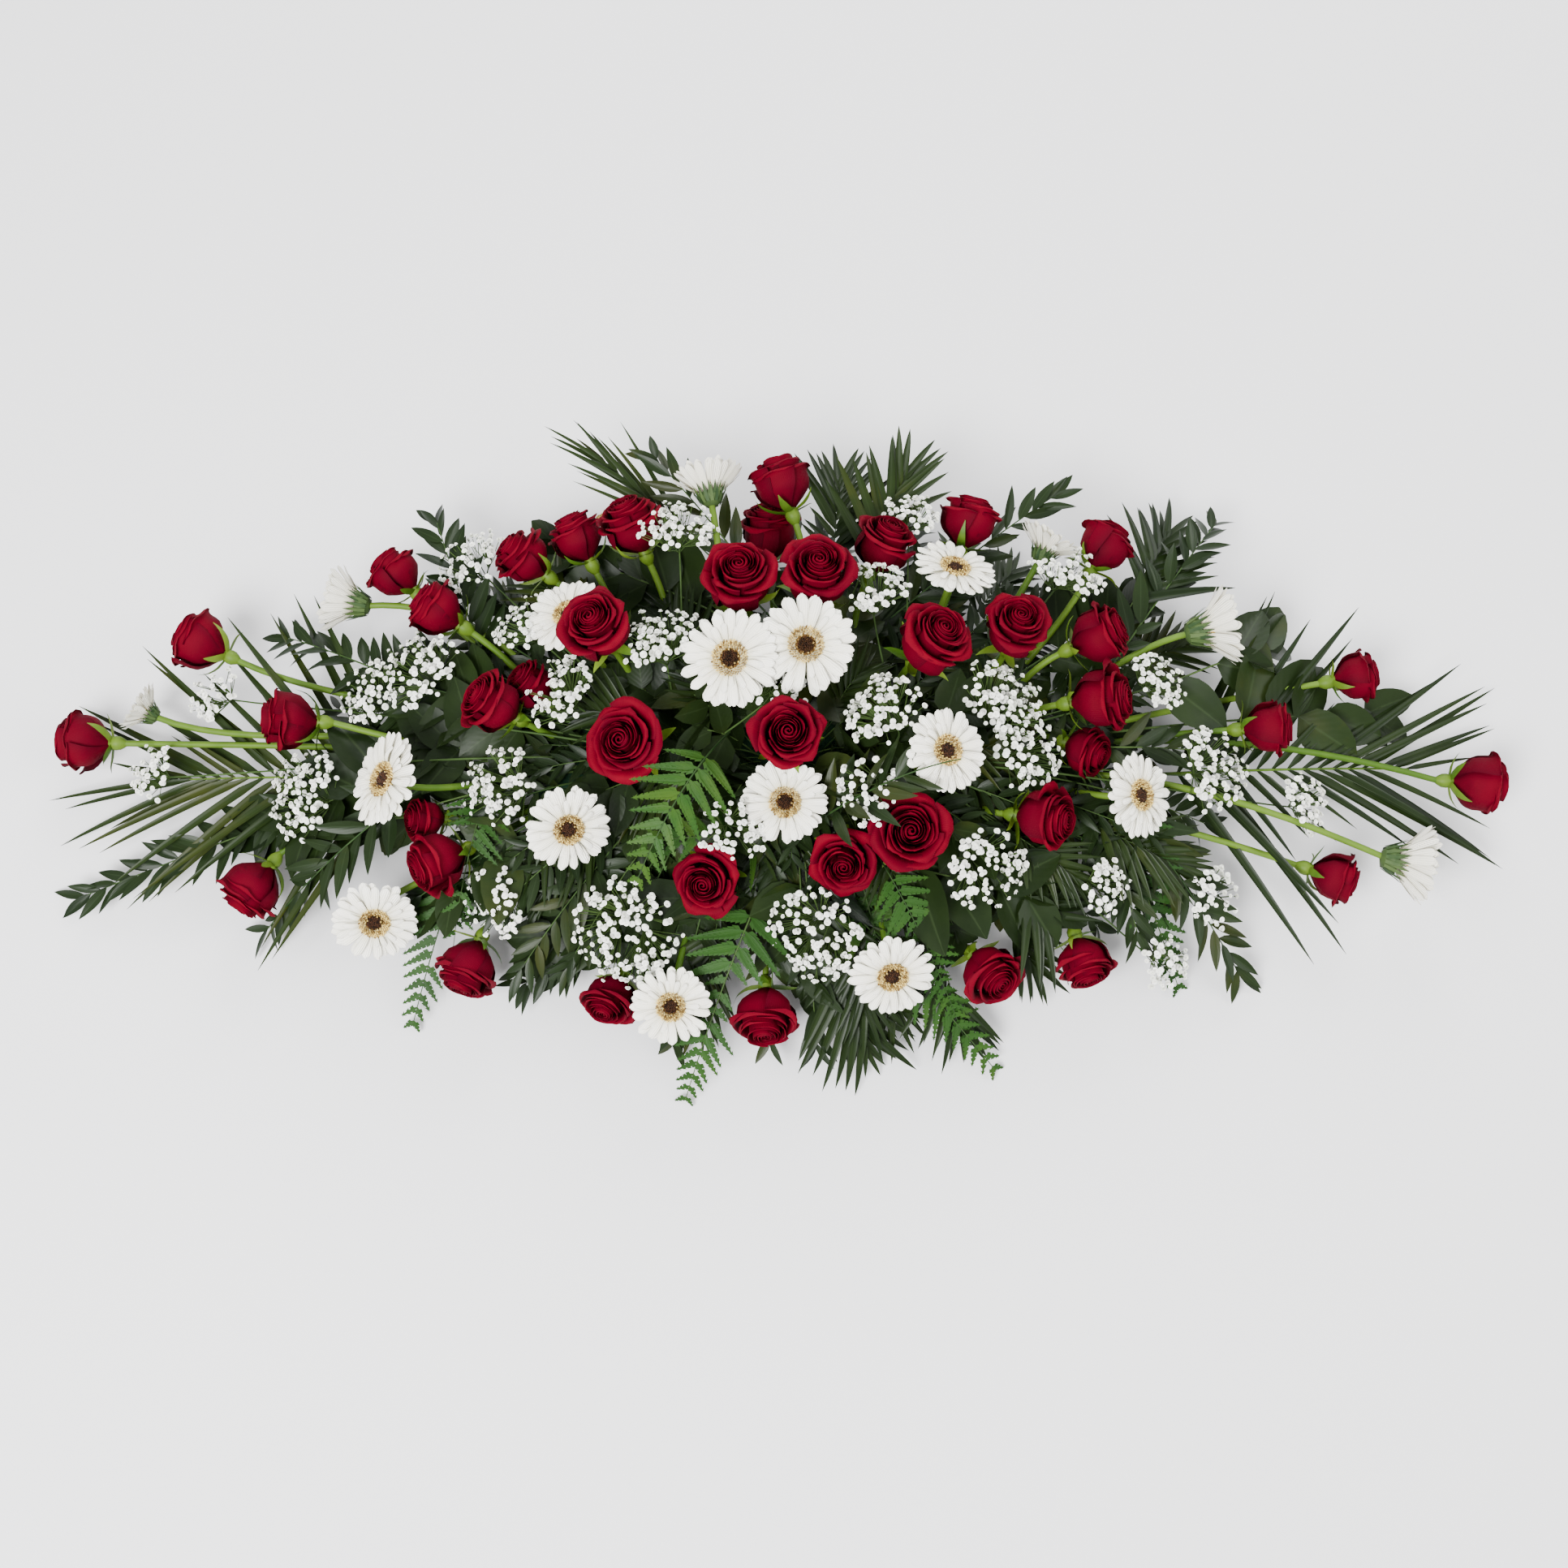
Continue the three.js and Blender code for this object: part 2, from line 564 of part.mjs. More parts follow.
function twig(name, hub, [kind, x, y, z, peak]) {
  const { length, width, angle, step, bare, outline } = KINDS[kind];
  const tip = at([x, y, z]);
  const aside = asideOf(hub, tip);
  const plan = firstClear((dip, swing) => {
    const curve = archOver(hub, plus(tip, aside, swing), peak + 0.6 * dip);
    return { curve, room: rod(curve.getSpacedPoints(8), RIB_WIDTH + SPARE, 4) };
  }, name, WIDE_SWINGS);
  if (!plan) return null;
  const { curve } = plan;
  const reach = curve.getLength();
  const pairs = Math.round(((1 - bare) * reach) / step);
  const shares = [0, 0.5 * bare];
  for (let k = 0; k < pairs; k++) shares.push(bare + ((1 - bare) * k) / pairs);
  const centres = shares.map((t) => curve.getPointAt(t));
  const frames = shares.map((t) => axesOf(curve.getTangentAt(t)));
  const nodes = centres.map((centre, k) => {
    const { side, up } = frames[k];
    const slim = 1 - 0.5 * shares[k];
    const [w, h] = [RIB_WIDTH * slim, RIB_DEPTH * slim];
    return [plus(centre, side, w), plus(centre, up, h), plus(centre, side, -w), plus(centre, up, -h)];
  });
  const leaflets = {};
  for (let k = 2; k + 1 < nodes.length; k++) {
    const share = (k - 2) / Math.max(1, pairs - 2);
    const between = ([first, last]) => first + (last - first) * share;
    const form = { length: between(length), width: between(width), angle: between(angle), outline };
    leaflets[k] = {};
    for (const hand of [1, -1]) {
      const side = hand > 0 ? 0 : 2;
      const [from, to] = [nodes[k][side], nodes[k + 1][side]];
      const made = firstClear((dip, swing) => {
        const drawn = (spare) => leafletOutline(from, frames[k], hand, form, dip, swing, spare);
        return { points: drawn(0), room: leafletRoom(from, to, drawn(SPARE), frames[k], hand) };
      }, name);
      if (made) leaflets[k][hand] = made.points;
    }
  }
  return { solid: blade(nodes, tip, leaflets), centres };
}

// A bough: its stalk in the foam and all its twigs in one body; a palm frond is its own stalk
function addBough(name, rows, colour) {
  const [foot, fork = foot] = BOUGHS[name].map(at);
  const twigs = rows.map((row) => twig(name, fork, row)).filter(Boolean);
  const solids = twigs.map((t) => t.solid);
  if (fork === foot) {
    holes.push(holeRound(twigs[0].centres, RIB_WIDTH, 4));
  } else {
    const stalk = [foot, plus(fork, fork.clone().sub(foot).normalize(), 2)];
    solids.push(rod(stalk, STALK_RADIUS, 4));
    holes.push(holeRound(stalk, STALK_RADIUS, 4));
  }
  add(name, settle(joined(solids), name), colour);
}

// One floret on its own stalk: a small three-sided bud, wide in the middle
function floret(root, centre, radius, stalk) {
  const axes = axesOf(centre.clone().sub(root).normalize());
  const wide = ring(centre, axes, 3, radius, 0, 0.5);
  const neck = ring(centre, axes, 3, stalk, -0.8 * radius, 0.5);
  return skin([[root], neck, wide, [plus(centre, axes.axis, 0.8 * radius)]]);
}

// A puff of florets at the end of its branch, spread evenly over a dome
function puff(name, fork, [x, y, z, spread]) {
  const centre = at([x, y, z]);
  const out = at([x - fork.x, y - fork.y, 0]).normalize();
  const axis = out.multiplyScalar(0.6).setZ(0.8);
  const neck = plus(centre, axis, -0.6 * spread);
  const plan = firstClear((dip, swing) => {
    const path = stemPath(fork, neck, axis, dip, swing);
    return { path, room: rod(path, GYPSOPHILA_RADIUS + 0.5 * SPARE) };
  }, name, WIDE_SWINGS);
  if (!plan) return [];
  const solids = [rod(plan.path, GYPSOPHILA_RADIUS)];
  const axes = axesOf(axis);
  for (let k = 0; k < FLORET.count; k++) {
    const share = Math.sqrt((k + 0.6) / FLORET.count);
    const made = firstClear((dip, swing) => {
      const angle = k * GOLDEN_ANGLE + 0.04 * swing;
      const height = spread * (0.55 - 0.75 * share * share) - 0.6 * dip;
      const end = polar(centre, axes, spread * share * (1 - 0.01 * dip), angle, height);
      const root = plus(neck, axis, -3 - 2.5 * k);
      return {
        solid: floret(root, end, FLORET.radius, FLORET.stalk),
        room: floret(plus(root, axis, 2), end, FLORET.radius + 1, FLORET.stalk + 0.8),
      };
    }, name, WIDE_SWINGS);
    if (made) solids.push(made.solid);
  }
  return solids;
}

function addSpray(name, rows) {
  const { foot, fork, room } = firstClear((dip, swing) => {
    const aside = at([swing, 0.5 * dip, 0]);
    const [foot, fork] = SPRAYS[name].map((p) => at(p).add(aside));
    return { foot, fork, room: rod([foot, plus(fork, UP, 3)], STALK_RADIUS + SPARE) };
  }, name, WIDE_SWINGS);
  const stalk = [foot, plus(fork, UP, 3)];
  const solids = [rod(stalk, STALK_RADIUS), ...rows.flatMap((row) => puff(name, fork, row))];
  holes.push(holeRound(stalk, STALK_RADIUS));
  add(name, settle(joined(solids), name), COLOUR.gypsophila);
}

// Everything in the order that it finds room: heads, palm fronds, stems, and the rest of the greenery
add("tray", settle(tray(), "tray"), COLOUR.tray);
const roses = flowerGroups("rose", ROSES, PRESSED, roseHead);
const gerberas = flowerGroups("gerbera", GERBERAS, PRESSED_GERBERAS, gerberaHead);
Object.entries(PALMS).forEach(([name, rows]) => addBough(name, rows, COLOUR.palm));
for (const { name, members, heads } of roses) {
  const stems = members.map((m) => flowerStem(m, name, ROSE_BASE, true));
  add(name, joined([...heads, ...stems]), COLOUR.rose);
}
for (const { name, members, heads } of gerberas) {
  const stems = members.map((m) => flowerStem(m, name, GERBERA_CUP, false));
  add(name, joined([...heads, ...stems]), COLOUR.gerbera);
}
Object.entries(GYPSOPHILA).forEach(([name, rows]) => addSpray(name, rows));
Object.entries(TWIGS).forEach(([name, rows]) => addBough(name, rows, COLOUR.leaf));
add("foam", foam(holes), COLOUR.foam);

export default spray;
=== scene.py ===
import math

import bpy
import numpy as np
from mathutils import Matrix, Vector


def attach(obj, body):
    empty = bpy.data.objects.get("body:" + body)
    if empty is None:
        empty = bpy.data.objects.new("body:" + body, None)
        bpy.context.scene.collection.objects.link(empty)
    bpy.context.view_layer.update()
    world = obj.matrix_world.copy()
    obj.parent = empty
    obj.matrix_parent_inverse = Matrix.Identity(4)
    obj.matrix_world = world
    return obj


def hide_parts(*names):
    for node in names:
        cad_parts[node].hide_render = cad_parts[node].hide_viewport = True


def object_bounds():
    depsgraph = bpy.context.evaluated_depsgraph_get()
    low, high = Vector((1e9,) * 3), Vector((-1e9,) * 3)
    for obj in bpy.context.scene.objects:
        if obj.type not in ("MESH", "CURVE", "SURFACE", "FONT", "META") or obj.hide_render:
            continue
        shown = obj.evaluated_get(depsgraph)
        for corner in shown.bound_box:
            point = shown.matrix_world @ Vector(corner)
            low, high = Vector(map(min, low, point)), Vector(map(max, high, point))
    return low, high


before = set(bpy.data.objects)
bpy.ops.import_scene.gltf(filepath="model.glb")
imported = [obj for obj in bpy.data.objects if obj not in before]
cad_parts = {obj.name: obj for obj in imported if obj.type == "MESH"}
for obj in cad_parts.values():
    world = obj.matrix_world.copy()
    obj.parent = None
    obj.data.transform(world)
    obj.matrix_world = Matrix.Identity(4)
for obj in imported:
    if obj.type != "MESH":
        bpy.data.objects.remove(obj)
cad_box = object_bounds()

MM = 0.001
TURN = 2 * math.pi
GOLDEN_ANGLE = 2.39996
random = np.random.default_rng(7)

# Roses: number, centre of the head x, y, z, the way it faces as azimuth and elevation, and width
ROSES = [
    (1, -5, 250, 140, 110, 12, 70),
    (2, -18, 218, 98, 95, 38, 72),
    (3, -145, 205, 146, 120, 40, 72),
    (4, -198, 203, 123, 120, 25, 64),
    (5, -248, 183, 121, 150, 30, 66),
    (6, -374, 176, 96, 140, 12, 62),
    (7, -327, 130, 125, 150, 20, 66),
    (8, -562, 116, 70, 155, 5, 70),
    (9, -675, 25, 44, 178, 0, 70),
    (10, -465, 30, 100, 180, 12, 70),
    (11, -268, 30, 148, 160, 40, 68),
    (12, -236, 53, 130, 150, 35, 56),
    (13, -168, 82, 208, 150, 72, 76),
    (14, -42, 130, 202, 100, 75, 80),
    (15, 27, 134, 202, 80, 75, 80),
    (16, 88, 180, 160, 60, 45, 70),
    (17, 170, 212, 138, 75, 15, 66),
    (18, 300, 198, 112, 62, 5, 64),
    (19, 128, 72, 202, 30, 62, 80),
    (20, 207, 95, 170, 60, 72, 72),
    (21, 287, 100, 138, 20, 25, 69),
    (22, 287, 38, 140, 0, 25, 74),
    (23, 277, 0, 106, -30, 25, 56),
    (24, 450, 25, 92, 0, 12, 62),
    (25, 545, 85, 62, 10, 5, 58),
    (26, 660, -15, 44, -3, 0, 70),
    (27, 511, -111, 60, -20, 5, 60),
    (28, 232, -72, 132, -15, 30, 70),
    (29, 108, -88, 150, -80, 75, 84),
    (30, 52, -110, 136, -100, 55, 72),
    (31, 0, -20, 222, -80, 82, 76),
    (32, -140, -15, 180, -150, 72, 84),
    (33, -70, -128, 132, -115, 60, 74),
    (34, -320, -105, 100, -150, 20, 70),
    (35, -500, -120, 55, -125, 0, 70),
    (36, -295, -195, 58, -110, 8, 70),
    (37, -163, -222, 52, -110, 25, 62),
    (38, -20, -240, 66, -90, 22, 72),
    (39, 185, -202, 70, -55, 35, 68),
    (40, 275, -190, 60, -75, 12, 62),
    (41, -336, -62, 86, -170, 30, 50),
]
ROSE_BASE = 0.4
HIP_LENGTH = 11

# Gerberas: number, centre of the face x, y, z, azimuth, elevation, width, and how far the petal tips
# lean forward, as a share of the width
GERBERAS = [
    (1, -612, 50, 57, 150, 20, 62, 0.2),
    (2, -412, 150, 88, 165, 0, 84, 0.28),
    (3, -362, -42, 152, 175, 48, 94, 0.02),
    (4, -380, -157, 80, -75, 50, 84, 0.02),
    (5, -200, 112, 158, 130, 70, 84, 0.02),
    (6, -172, 239, 82, 110, 35, 66, 0.03),
    (7, -72, 233, 160, 99, 0, 80, 0.26),
    (8, -50, 49, 224, -135, 76, 94, 0.02),
    (9, 16, 61, 226, -80, 80, 94, 0.02),
    (10, 152, 148, 182, 70, 55, 82, 0.03),
    (11, 243, 190, 122, 60, 15, 74, 0.2),
    (12, 138, -32, 214, -20, 65, 80, 0.02),
    (13, -2, -65, 166, -95, 60, 84, 0.02),
    (14, -195, -90, 165, -60, 55, 82, 0.02),
    (15, 320, -50, 128, -10, 52, 84, 0.02),
    (16, 390, 115, 110, 12, 3, 96, 0.28),
    (17, 568, -98, 74, -10, 0, 94, 0.28),
    (18, -105, -238, 96, -90, 68, 78, 0.02),
    (19, 95, -210, 98, -85, 50, 84, 0.02),
]
GERBERA_CUP = 0.16
SUNK = 5

# Blooms that press into each other share one piece
PRESSED_ROSES = [(1, 2), (3, 4, 5), (11, 12), (14, 15), (21, 22, 23), (29, 30), (34, 41)]
PRESSED_GERBERAS = [(8, 9)]

# Where a flower's foot stands in the foam, as shares of its head's place within limits
FOOT_SHARE = (0.6, 0.2, 0.3)
FOOT_LOW = (-205, -40, 38)
FOOT_HIGH = (205, 40, 56)

# The first control point of a stem's line: how far out from the foot and how high over it, as shares of
# the reach, and the share of the bloom's height over the foot that is added
STEM_START_SHARE = 0.34
STEM_RISE_SHARE = 0.1
STEM_CLIMB_SHARE = 0.35

# The second: how far behind the bloom as a share of the reach, and no lower than halfway to this height
STEM_APPROACH_SHARE = 0.3
STEM_RISE = 60

STEM_POINTS = 15
STEM_RADII = (3.4, 3.1)

# A solid stem has three straight parts past this reach and else two, with corners this far from their ends
LONG_STEM = 220
STEM_CORNERS = (2.7, 2.9)

# The bends that a stem or twig may take to clear the others
DIPS = (0, 12, -12, 24, -24, 36)
SWINGS = (0, 14, -14, 28, -28, 42, -42, 56, -56)


# Vectors


def unit(v):
    return v / np.linalg.norm(v)


def facing(azimuth, elevation):
    a, e = math.radians(azimuth), math.radians(elevation)
    return np.array([math.cos(e) * math.cos(a), math.cos(e) * math.sin(a), math.sin(e)])


def axes_of(axis, hint=(0, 0, 1)):
    """Side, up and axis, at right angles."""
    side = np.cross(hint, axis)
    if np.linalg.norm(side) < 0.01:
        side = np.cross((1, 0, 0), axis)
    side = unit(side)
    return np.array([side, np.cross(axis, side), axis])


def aside_of(p, q):
    return unit(np.array([p[1] - q[1], q[0] - p[0], 0.0]))


def between(ends, share):
    first, last = ends
    return first + (last - first) * share


def around(axes, angle):
    """The unit step at an angle round the third axis, or the steps at many angles."""
    return np.cos(angle)[..., None] * axes[0] + np.sin(angle)[..., None] * axes[1]


def circle(axes, sides):
    return around(axes, np.arange(sides) / sides * TURN)


def along_curve(controls, count):
    """Points along the smooth curve that three or four control points pull into shape."""
    t = np.linspace(0, 1, count)[:, None]
    points = np.array(controls, float)[None].repeat(count, 0)
    while points.shape[1] > 1:
        points = points[:, :-1] * (1 - t[:, :, None]) + points[:, 1:] * t[:, :, None]
    return points[:, 0]


def smooth_through(knots, count):
    """Values at even places along a smooth line through knots, each a number or a vector."""
    knots = np.array(knots, float)
    ends = np.concatenate([[2 * knots[0] - knots[1]], knots, [2 * knots[-1] - knots[-2]]])
    place = np.linspace(0, len(knots) - 1, count)
    k = np.minimum(place.astype(int), len(knots) - 2)
    t = (place - k).reshape((-1,) + (1,) * (knots.ndim - 1))
    a, b, c, d = (ends[k + i] for i in range(4))
    return 0.5 * (2 * b + (c - a) * t + (2 * a - 5 * b + 4 * c - d) * t**2 + (3 * b - a - 3 * c + d) * t**3)


class Piece:
    """Grids of points gathered into one mesh. Each point keeps its place across and along its petal or
    leaf and that petal's own tone, for the materials."""

    def __init__(self, name, materials):
        self.name, self.materials = name, materials
        self.points, self.quads, self.slots, self.places, self.total = [], [], [], [], 0

    def grid(self, points, material, tone=0.5, round_=False, place=None):
        rows, columns = points.shape[:2]
        index = self.total + np.arange(rows * columns).reshape(rows, columns)
        if round_:
            index = np.hstack([index, index[:, :1]])
        corners = [index[:-1, :-1], index[:-1, 1:], index[1:, 1:], index[1:, :-1]]
        quads = np.stack(corners, -1).reshape(-1, 4)
        if place is None:
            across, along = np.meshgrid(np.linspace(-1, 1, columns), np.linspace(0, 1, rows))
        else:
            across, along = place
        self.points.append(points.reshape(-1, 3))
        self.quads.append(quads)
        self.slots.append(np.full(len(quads), self.materials.index(material)))
        tones = np.full(rows * columns, tone)
        self.places.append(np.stack([across.ravel(), along.ravel(), tones], -1))
        self.total += rows * columns

    def tube(self, path, radius, sides, material, tone=0.5):
        """A stem along a path; radius is a number or one for each point."""
        path = np.asarray(path, float)
        radius = np.broadcast_to(radius, len(path))
        ahead = np.gradient(path, axis=0)
        rings = []
        side = None
        for p, d, r in zip(path, ahead, radius):
            axes = axes_of(unit(d)) if side is None else axes_of(unit(d), np.cross(d, side))
            side = axes[0]
            rings.append(p + r * circle(axes, sides))
        self.grid(np.array(rings), material, tone, round_=True)

    def finish(self, slot, *nodes):
        mesh = bpy.data.meshes.new(self.name)
        points = (np.concatenate(self.points) * MM).astype(np.float32)
        quads = np.concatenate(self.quads).astype(np.int32)
        mesh.vertices.add(len(points))
        mesh.vertices.foreach_set("co", points.ravel())
        mesh.loops.add(quads.size)
        mesh.loops.foreach_set("vertex_index", quads.ravel())
        mesh.polygons.add(len(quads))
        mesh.polygons.foreach_set("loop_start", np.arange(0, quads.size, 4, dtype=np.int32))
        mesh.polygons.foreach_set("material_index", np.concatenate(self.slots).astype(np.int32))
        mesh.polygons.foreach_set("use_smooth", np.ones(len(quads), bool))
        place = mesh.attributes.new("place", "FLOAT_VECTOR", "POINT")
        place.data.foreach_set("vector", np.concatenate(self.places).astype(np.float32).ravel())
        for material in self.materials:
            mesh.materials.append(MATERIALS[material])
        mesh.update(calc_edges=True)
        piece = bpy.data.objects.new(self.name, mesh)
        bpy.context.scene.collection.objects.link(piece)
        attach(piece, "root")
        if nodes:
            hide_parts(*nodes)


# Materials


class Shader:
    """A material's node tree, with short calls for its nodes."""

    def __init__(self, name, **inputs):
        self.material = bpy.data.materials.new(name)
        self.material.use_nodes = True
        self.nodes = self.material.node_tree.nodes
        self.main = self.nodes["Principled BSDF"]
        for key, value in inputs.items():
            self.main.inputs[key.replace("_", " ")].default_value = value

    def link(self, output, target):
        self.material.node_tree.links.new(output, target)

    def node(self, kind, **settings):
        made = self.nodes.new("ShaderNode" + kind)
        for key, value in settings.items():
            setattr(made, key, value)
        return made

    def place(self):
        """Across, along and tone of the petal or leaf that a point is on."""
        attribute = self.node("Attribute", attribute_name="place")
        split = self.node("SeparateXYZ")
        self.link(attribute.outputs["Vector"], split.inputs[0])
        return split.outputs

    def noise(self, scale):
        texture = self.node("TexNoise")
        texture.inputs["Scale"].default_value = scale
        texture.inputs["Detail"].default_value = 3.0
        self.link(self.node("TexCoord").outputs["Object"], texture.inputs["Vector"])
        return texture.outputs["Fac"]

    def ramp(self, factor, *stops):
        ramp = self.node("ValToRGB")
        elements = ramp.color_ramp.elements
        while len(elements) < len(stops):
            elements.new(0.5)
        for element, (position, color) in zip(elements, stops):
            element.position = position
            element.color = (*color, 1)
        self.link(factor, ramp.inputs[0])
        return ramp.outputs[0]

    def math(self, operation, a, b=0.0):
        made = self.node("Math", operation=operation)
        for socket, value in zip(made.inputs, (a, b)):
            if isinstance(value, (int, float)):
                socket.default_value = value
            else:
                self.link(value, socket)
        return made.outputs[0]

    def mix(self, factor, shade, color):
        """A shade from another node mixed with a plain colour; inputs 6 and 7 are the two colours."""
        made = self.node("Mix", data_type="RGBA")
        self.link(factor, made.inputs[0])
        self.link(shade, made.inputs[6])
        made.inputs[7].default_value = (*color, 1)
        return made.outputs[2]

    def color(self, value):
        self.link(value, self.main.inputs["Base Color"])

    def bump(self, height, strength, distance):
        bump = self.node("Bump")
        bump.inputs["Strength"].default_value = strength
        bump.inputs["Distance"].default_value = distance
        self.link(height, bump.inputs["Height"])
        self.link(bump.outputs[0], self.main.inputs["Normal"])


def rose_petal():
    """Deep red with fine veins. It darkens towards the foot, at the sides and on the petals of the heart, as
    painted shade where the petals lie low inside the flower and overlap; it is also darker at the very rim,
    and its tone varies at random from petal to petal.
    """
    s = Shader("rose_petal", Roughness=0.7, Specular_IOR_Level=0.04)
    across, along, tone = s.place()[0:3]
    # Painted shade: the petal darkens towards its foot, down inside the flower; it is also darker at the very
    # rim
    body = s.ramp(
        along, (0.0, (0.045, 0.0, 0.004)), (0.35, (0.08, 0.0, 0.006)), (0.75, (0.125, 0.0, 0.0075)),
        (0.94, (0.12, 0.0, 0.0075)), (1.0, (0.055, 0.0, 0.005)),
    )
    spots = s.ramp(s.noise(90), (0.35, (0, 0, 0)), (0.7, (0.7, 0.7, 0.7)))
    mottled = s.mix(spots, body, (0.085, 0.0, 0.006))
    # Painted shade on the petals of the heart, carried by the tone, mixed with random tone from petal to
    # petal
    heart_shade_and_tone = s.mix(s.math("MULTIPLY", tone, 0.6), mottled, (0.046, 0.0, 0.005))
    # Painted shade at the petal's sides, where the petals overlap
    sides = s.math("MULTIPLY", s.math("POWER", s.math("ABSOLUTE", across), 3.0), 0.55)
    s.color(s.mix(sides, heart_shade_and_tone, (0.028, 0.0, 0.004)))
    veins = s.node("TexWave", wave_type="BANDS", bands_direction="X")
    veins.inputs["Scale"].default_value = 6
    veins.inputs["Distortion"].default_value = 1.5
    vector = s.node("CombineXYZ")
    s.link(across, vector.inputs[0])
    s.link(s.math("MULTIPLY", along, 0.4), vector.inputs[1])
    s.link(vector.outputs[0], veins.inputs["Vector"])
    s.bump(veins.outputs["Fac"], 0.25, 0.0006)
    return s.material


def gerbera_petal():
    """White, cream and darker towards the root, partly the petal's own colour and partly painted shade, with
    grooves that run along the petal; darker stripes in the grooves and darker sides are painted shade.
    """
    s = Shader("gerbera_petal", Roughness=0.6, Specular_IOR_Level=0.3)
    across, along, tone = s.place()[0:3]
    # Cream and darker towards the root: partly the petal's own colour, partly painted shade
    body = s.ramp(
        along, (0.0, (0.66, 0.60, 0.34)), (0.3, (0.90, 0.87, 0.74)), (0.7, (0.98, 0.96, 0.87)),
        (1.0, (0.99, 0.97, 0.89)),
    )
    shaded = s.mix(s.math("MULTIPLY", tone, 0.3), body, (0.76, 0.73, 0.60))
    grooves = s.math("SINE", s.math("MULTIPLY", across, 14.0))
    # Painted shade: darker stripes in the grooves
    groove_shade = s.math("MULTIPLY", s.math("ADD", s.math("MULTIPLY", grooves, 0.5), 0.5), 0.16)
    groove_shaded = s.mix(groove_shade, shaded, (0.66, 0.65, 0.56))
    # Painted shade at the petal's sides, between neighbouring petals
    sides = s.math("MULTIPLY", s.math("POWER", s.math("ABSOLUTE", across), 4.0), 0.5)
    s.color(s.mix(sides, groove_shaded, (0.42, 0.42, 0.34)))
    s.bump(grooves, 0.5, 0.0009)
    return s.material


def plain(name, low, high, scale, roughness, bump=0.2):
    """A material mottled between two colours by noise, with a fine bump."""
    s = Shader(name, Roughness=roughness, Specular_IOR_Level=0.15)
    tone = s.place()[2]
    mixed = s.math("ADD", s.math("MULTIPLY", s.noise(scale), 0.5), s.math("MULTIPLY", tone, 0.5))
    s.color(s.ramp(mixed, (0.25, low), (0.75, high)))
    s.bump(s.noise(scale * 6), bump, 0.0005)
    return s.material


def leaf(name, low, high, roughness, veins):
    """A leaf with a paler midrib, side veins, and a tone of its own; the highest tones are olive."""
    s = Shader(name, Roughness=roughness, Specular_IOR_Level=0.10)
    across, along, tone = s.place()[0:3]
    patchy = s.math("ADD", s.math("MULTIPLY", s.noise(30), 0.45), s.math("MULTIPLY", tone, 0.55))
    olive = (2.1 * high[0], 1.4 * high[1], high[2])
    body = s.ramp(patchy, (0.15, low), (0.6, high), (0.8, olive))
    width = s.math("ABSOLUTE", across)
    midrib = s.ramp(width, (0.0, (1, 1, 1)), (0.09, (0, 0, 0)))
    pale = tuple(1.7 * c + 0.006 for c in high)
    s.color(s.mix(s.math("MULTIPLY", midrib, 0.5), body, pale))
    slanted = s.math("SUBTRACT", s.math("MULTIPLY", along, veins), s.math("MULTIPLY", width, 2.5))
    s.bump(s.math("SINE", s.math("MULTIPLY", slanted, TURN)), 0.05, 0.0004)
    return s.material


MATERIALS = {
    "rose_petal": rose_petal(),
    "gerbera_petal": gerbera_petal(),
    "pollen": plain("pollen", (0.10, 0.045, 0.010), (0.90, 0.68, 0.22), 900, 0.8),
    "eye": plain("eye", (0.010, 0.006, 0.004), (0.06, 0.025, 0.012), 900, 0.7),
    "stem": plain("stem", (0.035, 0.080, 0.006), (0.084, 0.148, 0.014), 60, 0.5),
    "sepal": plain("sepal", (0.03, 0.075, 0.005), (0.11, 0.17, 0.014), 80, 0.5),
    "bract": plain("bract", (0.014, 0.034, 0.010), (0.052, 0.084, 0.024), 120, 0.6),
    "gypsophila": plain("gypsophila", (0.72, 0.73, 0.66), (0.96, 0.96, 0.91), 300, 0.75),
    "twig": plain("twig", (0.014, 0.036, 0.008), (0.048, 0.085, 0.02), 80, 0.6),
    "palm": leaf("palm", (0.003, 0.0075, 0.002), (0.010, 0.019, 0.0035), 0.36, 0),
    "fern": leaf("fern", (0.006, 0.022, 0.0035), (0.015, 0.048, 0.006), 0.5, 4),
    "ruscus": leaf("ruscus", (0.0025, 0.0065, 0.002), (0.009, 0.017, 0.005), 0.34, 3),
    "salal": leaf("salal", (0.003, 0.007, 0.002), (0.010, 0.019, 0.0045), 0.36, 7),
}


# Leaves keep out of the blooms, which count as balls, and near the box of the solids
BLOOMS = np.array([r[1:4] for r in ROSES] + [g[1:4] for g in GERBERAS], float)
ROSE_BALL = 0.46
GERBERA_BALL = 0.36
BLOOM_RADII = np.array([ROSE_BALL * r[6] for r in ROSES] + [GERBERA_BALL * g[6] for g in GERBERAS])
LEAF_MARGIN = np.array([26, 12, 5])
LOWEST_LEAF = np.append((np.array(cad_box[0]) / MM - LEAF_MARGIN)[:2], 1)
HIGHEST_LEAF = np.array(cad_box[1]) / MM + LEAF_MARGIN


def clear_of_blooms(points, spare=0.0):
    apart = np.linalg.norm(points.reshape(-1, 1, 3) - BLOOMS, axis=2)
    return bool((apart > BLOOM_RADII + spare).all())


def in_box(points):
    flat = points.reshape(-1, 3)
    return bool((flat > LOWEST_LEAF).all() and (flat < HIGHEST_LEAF).all())


# Stems


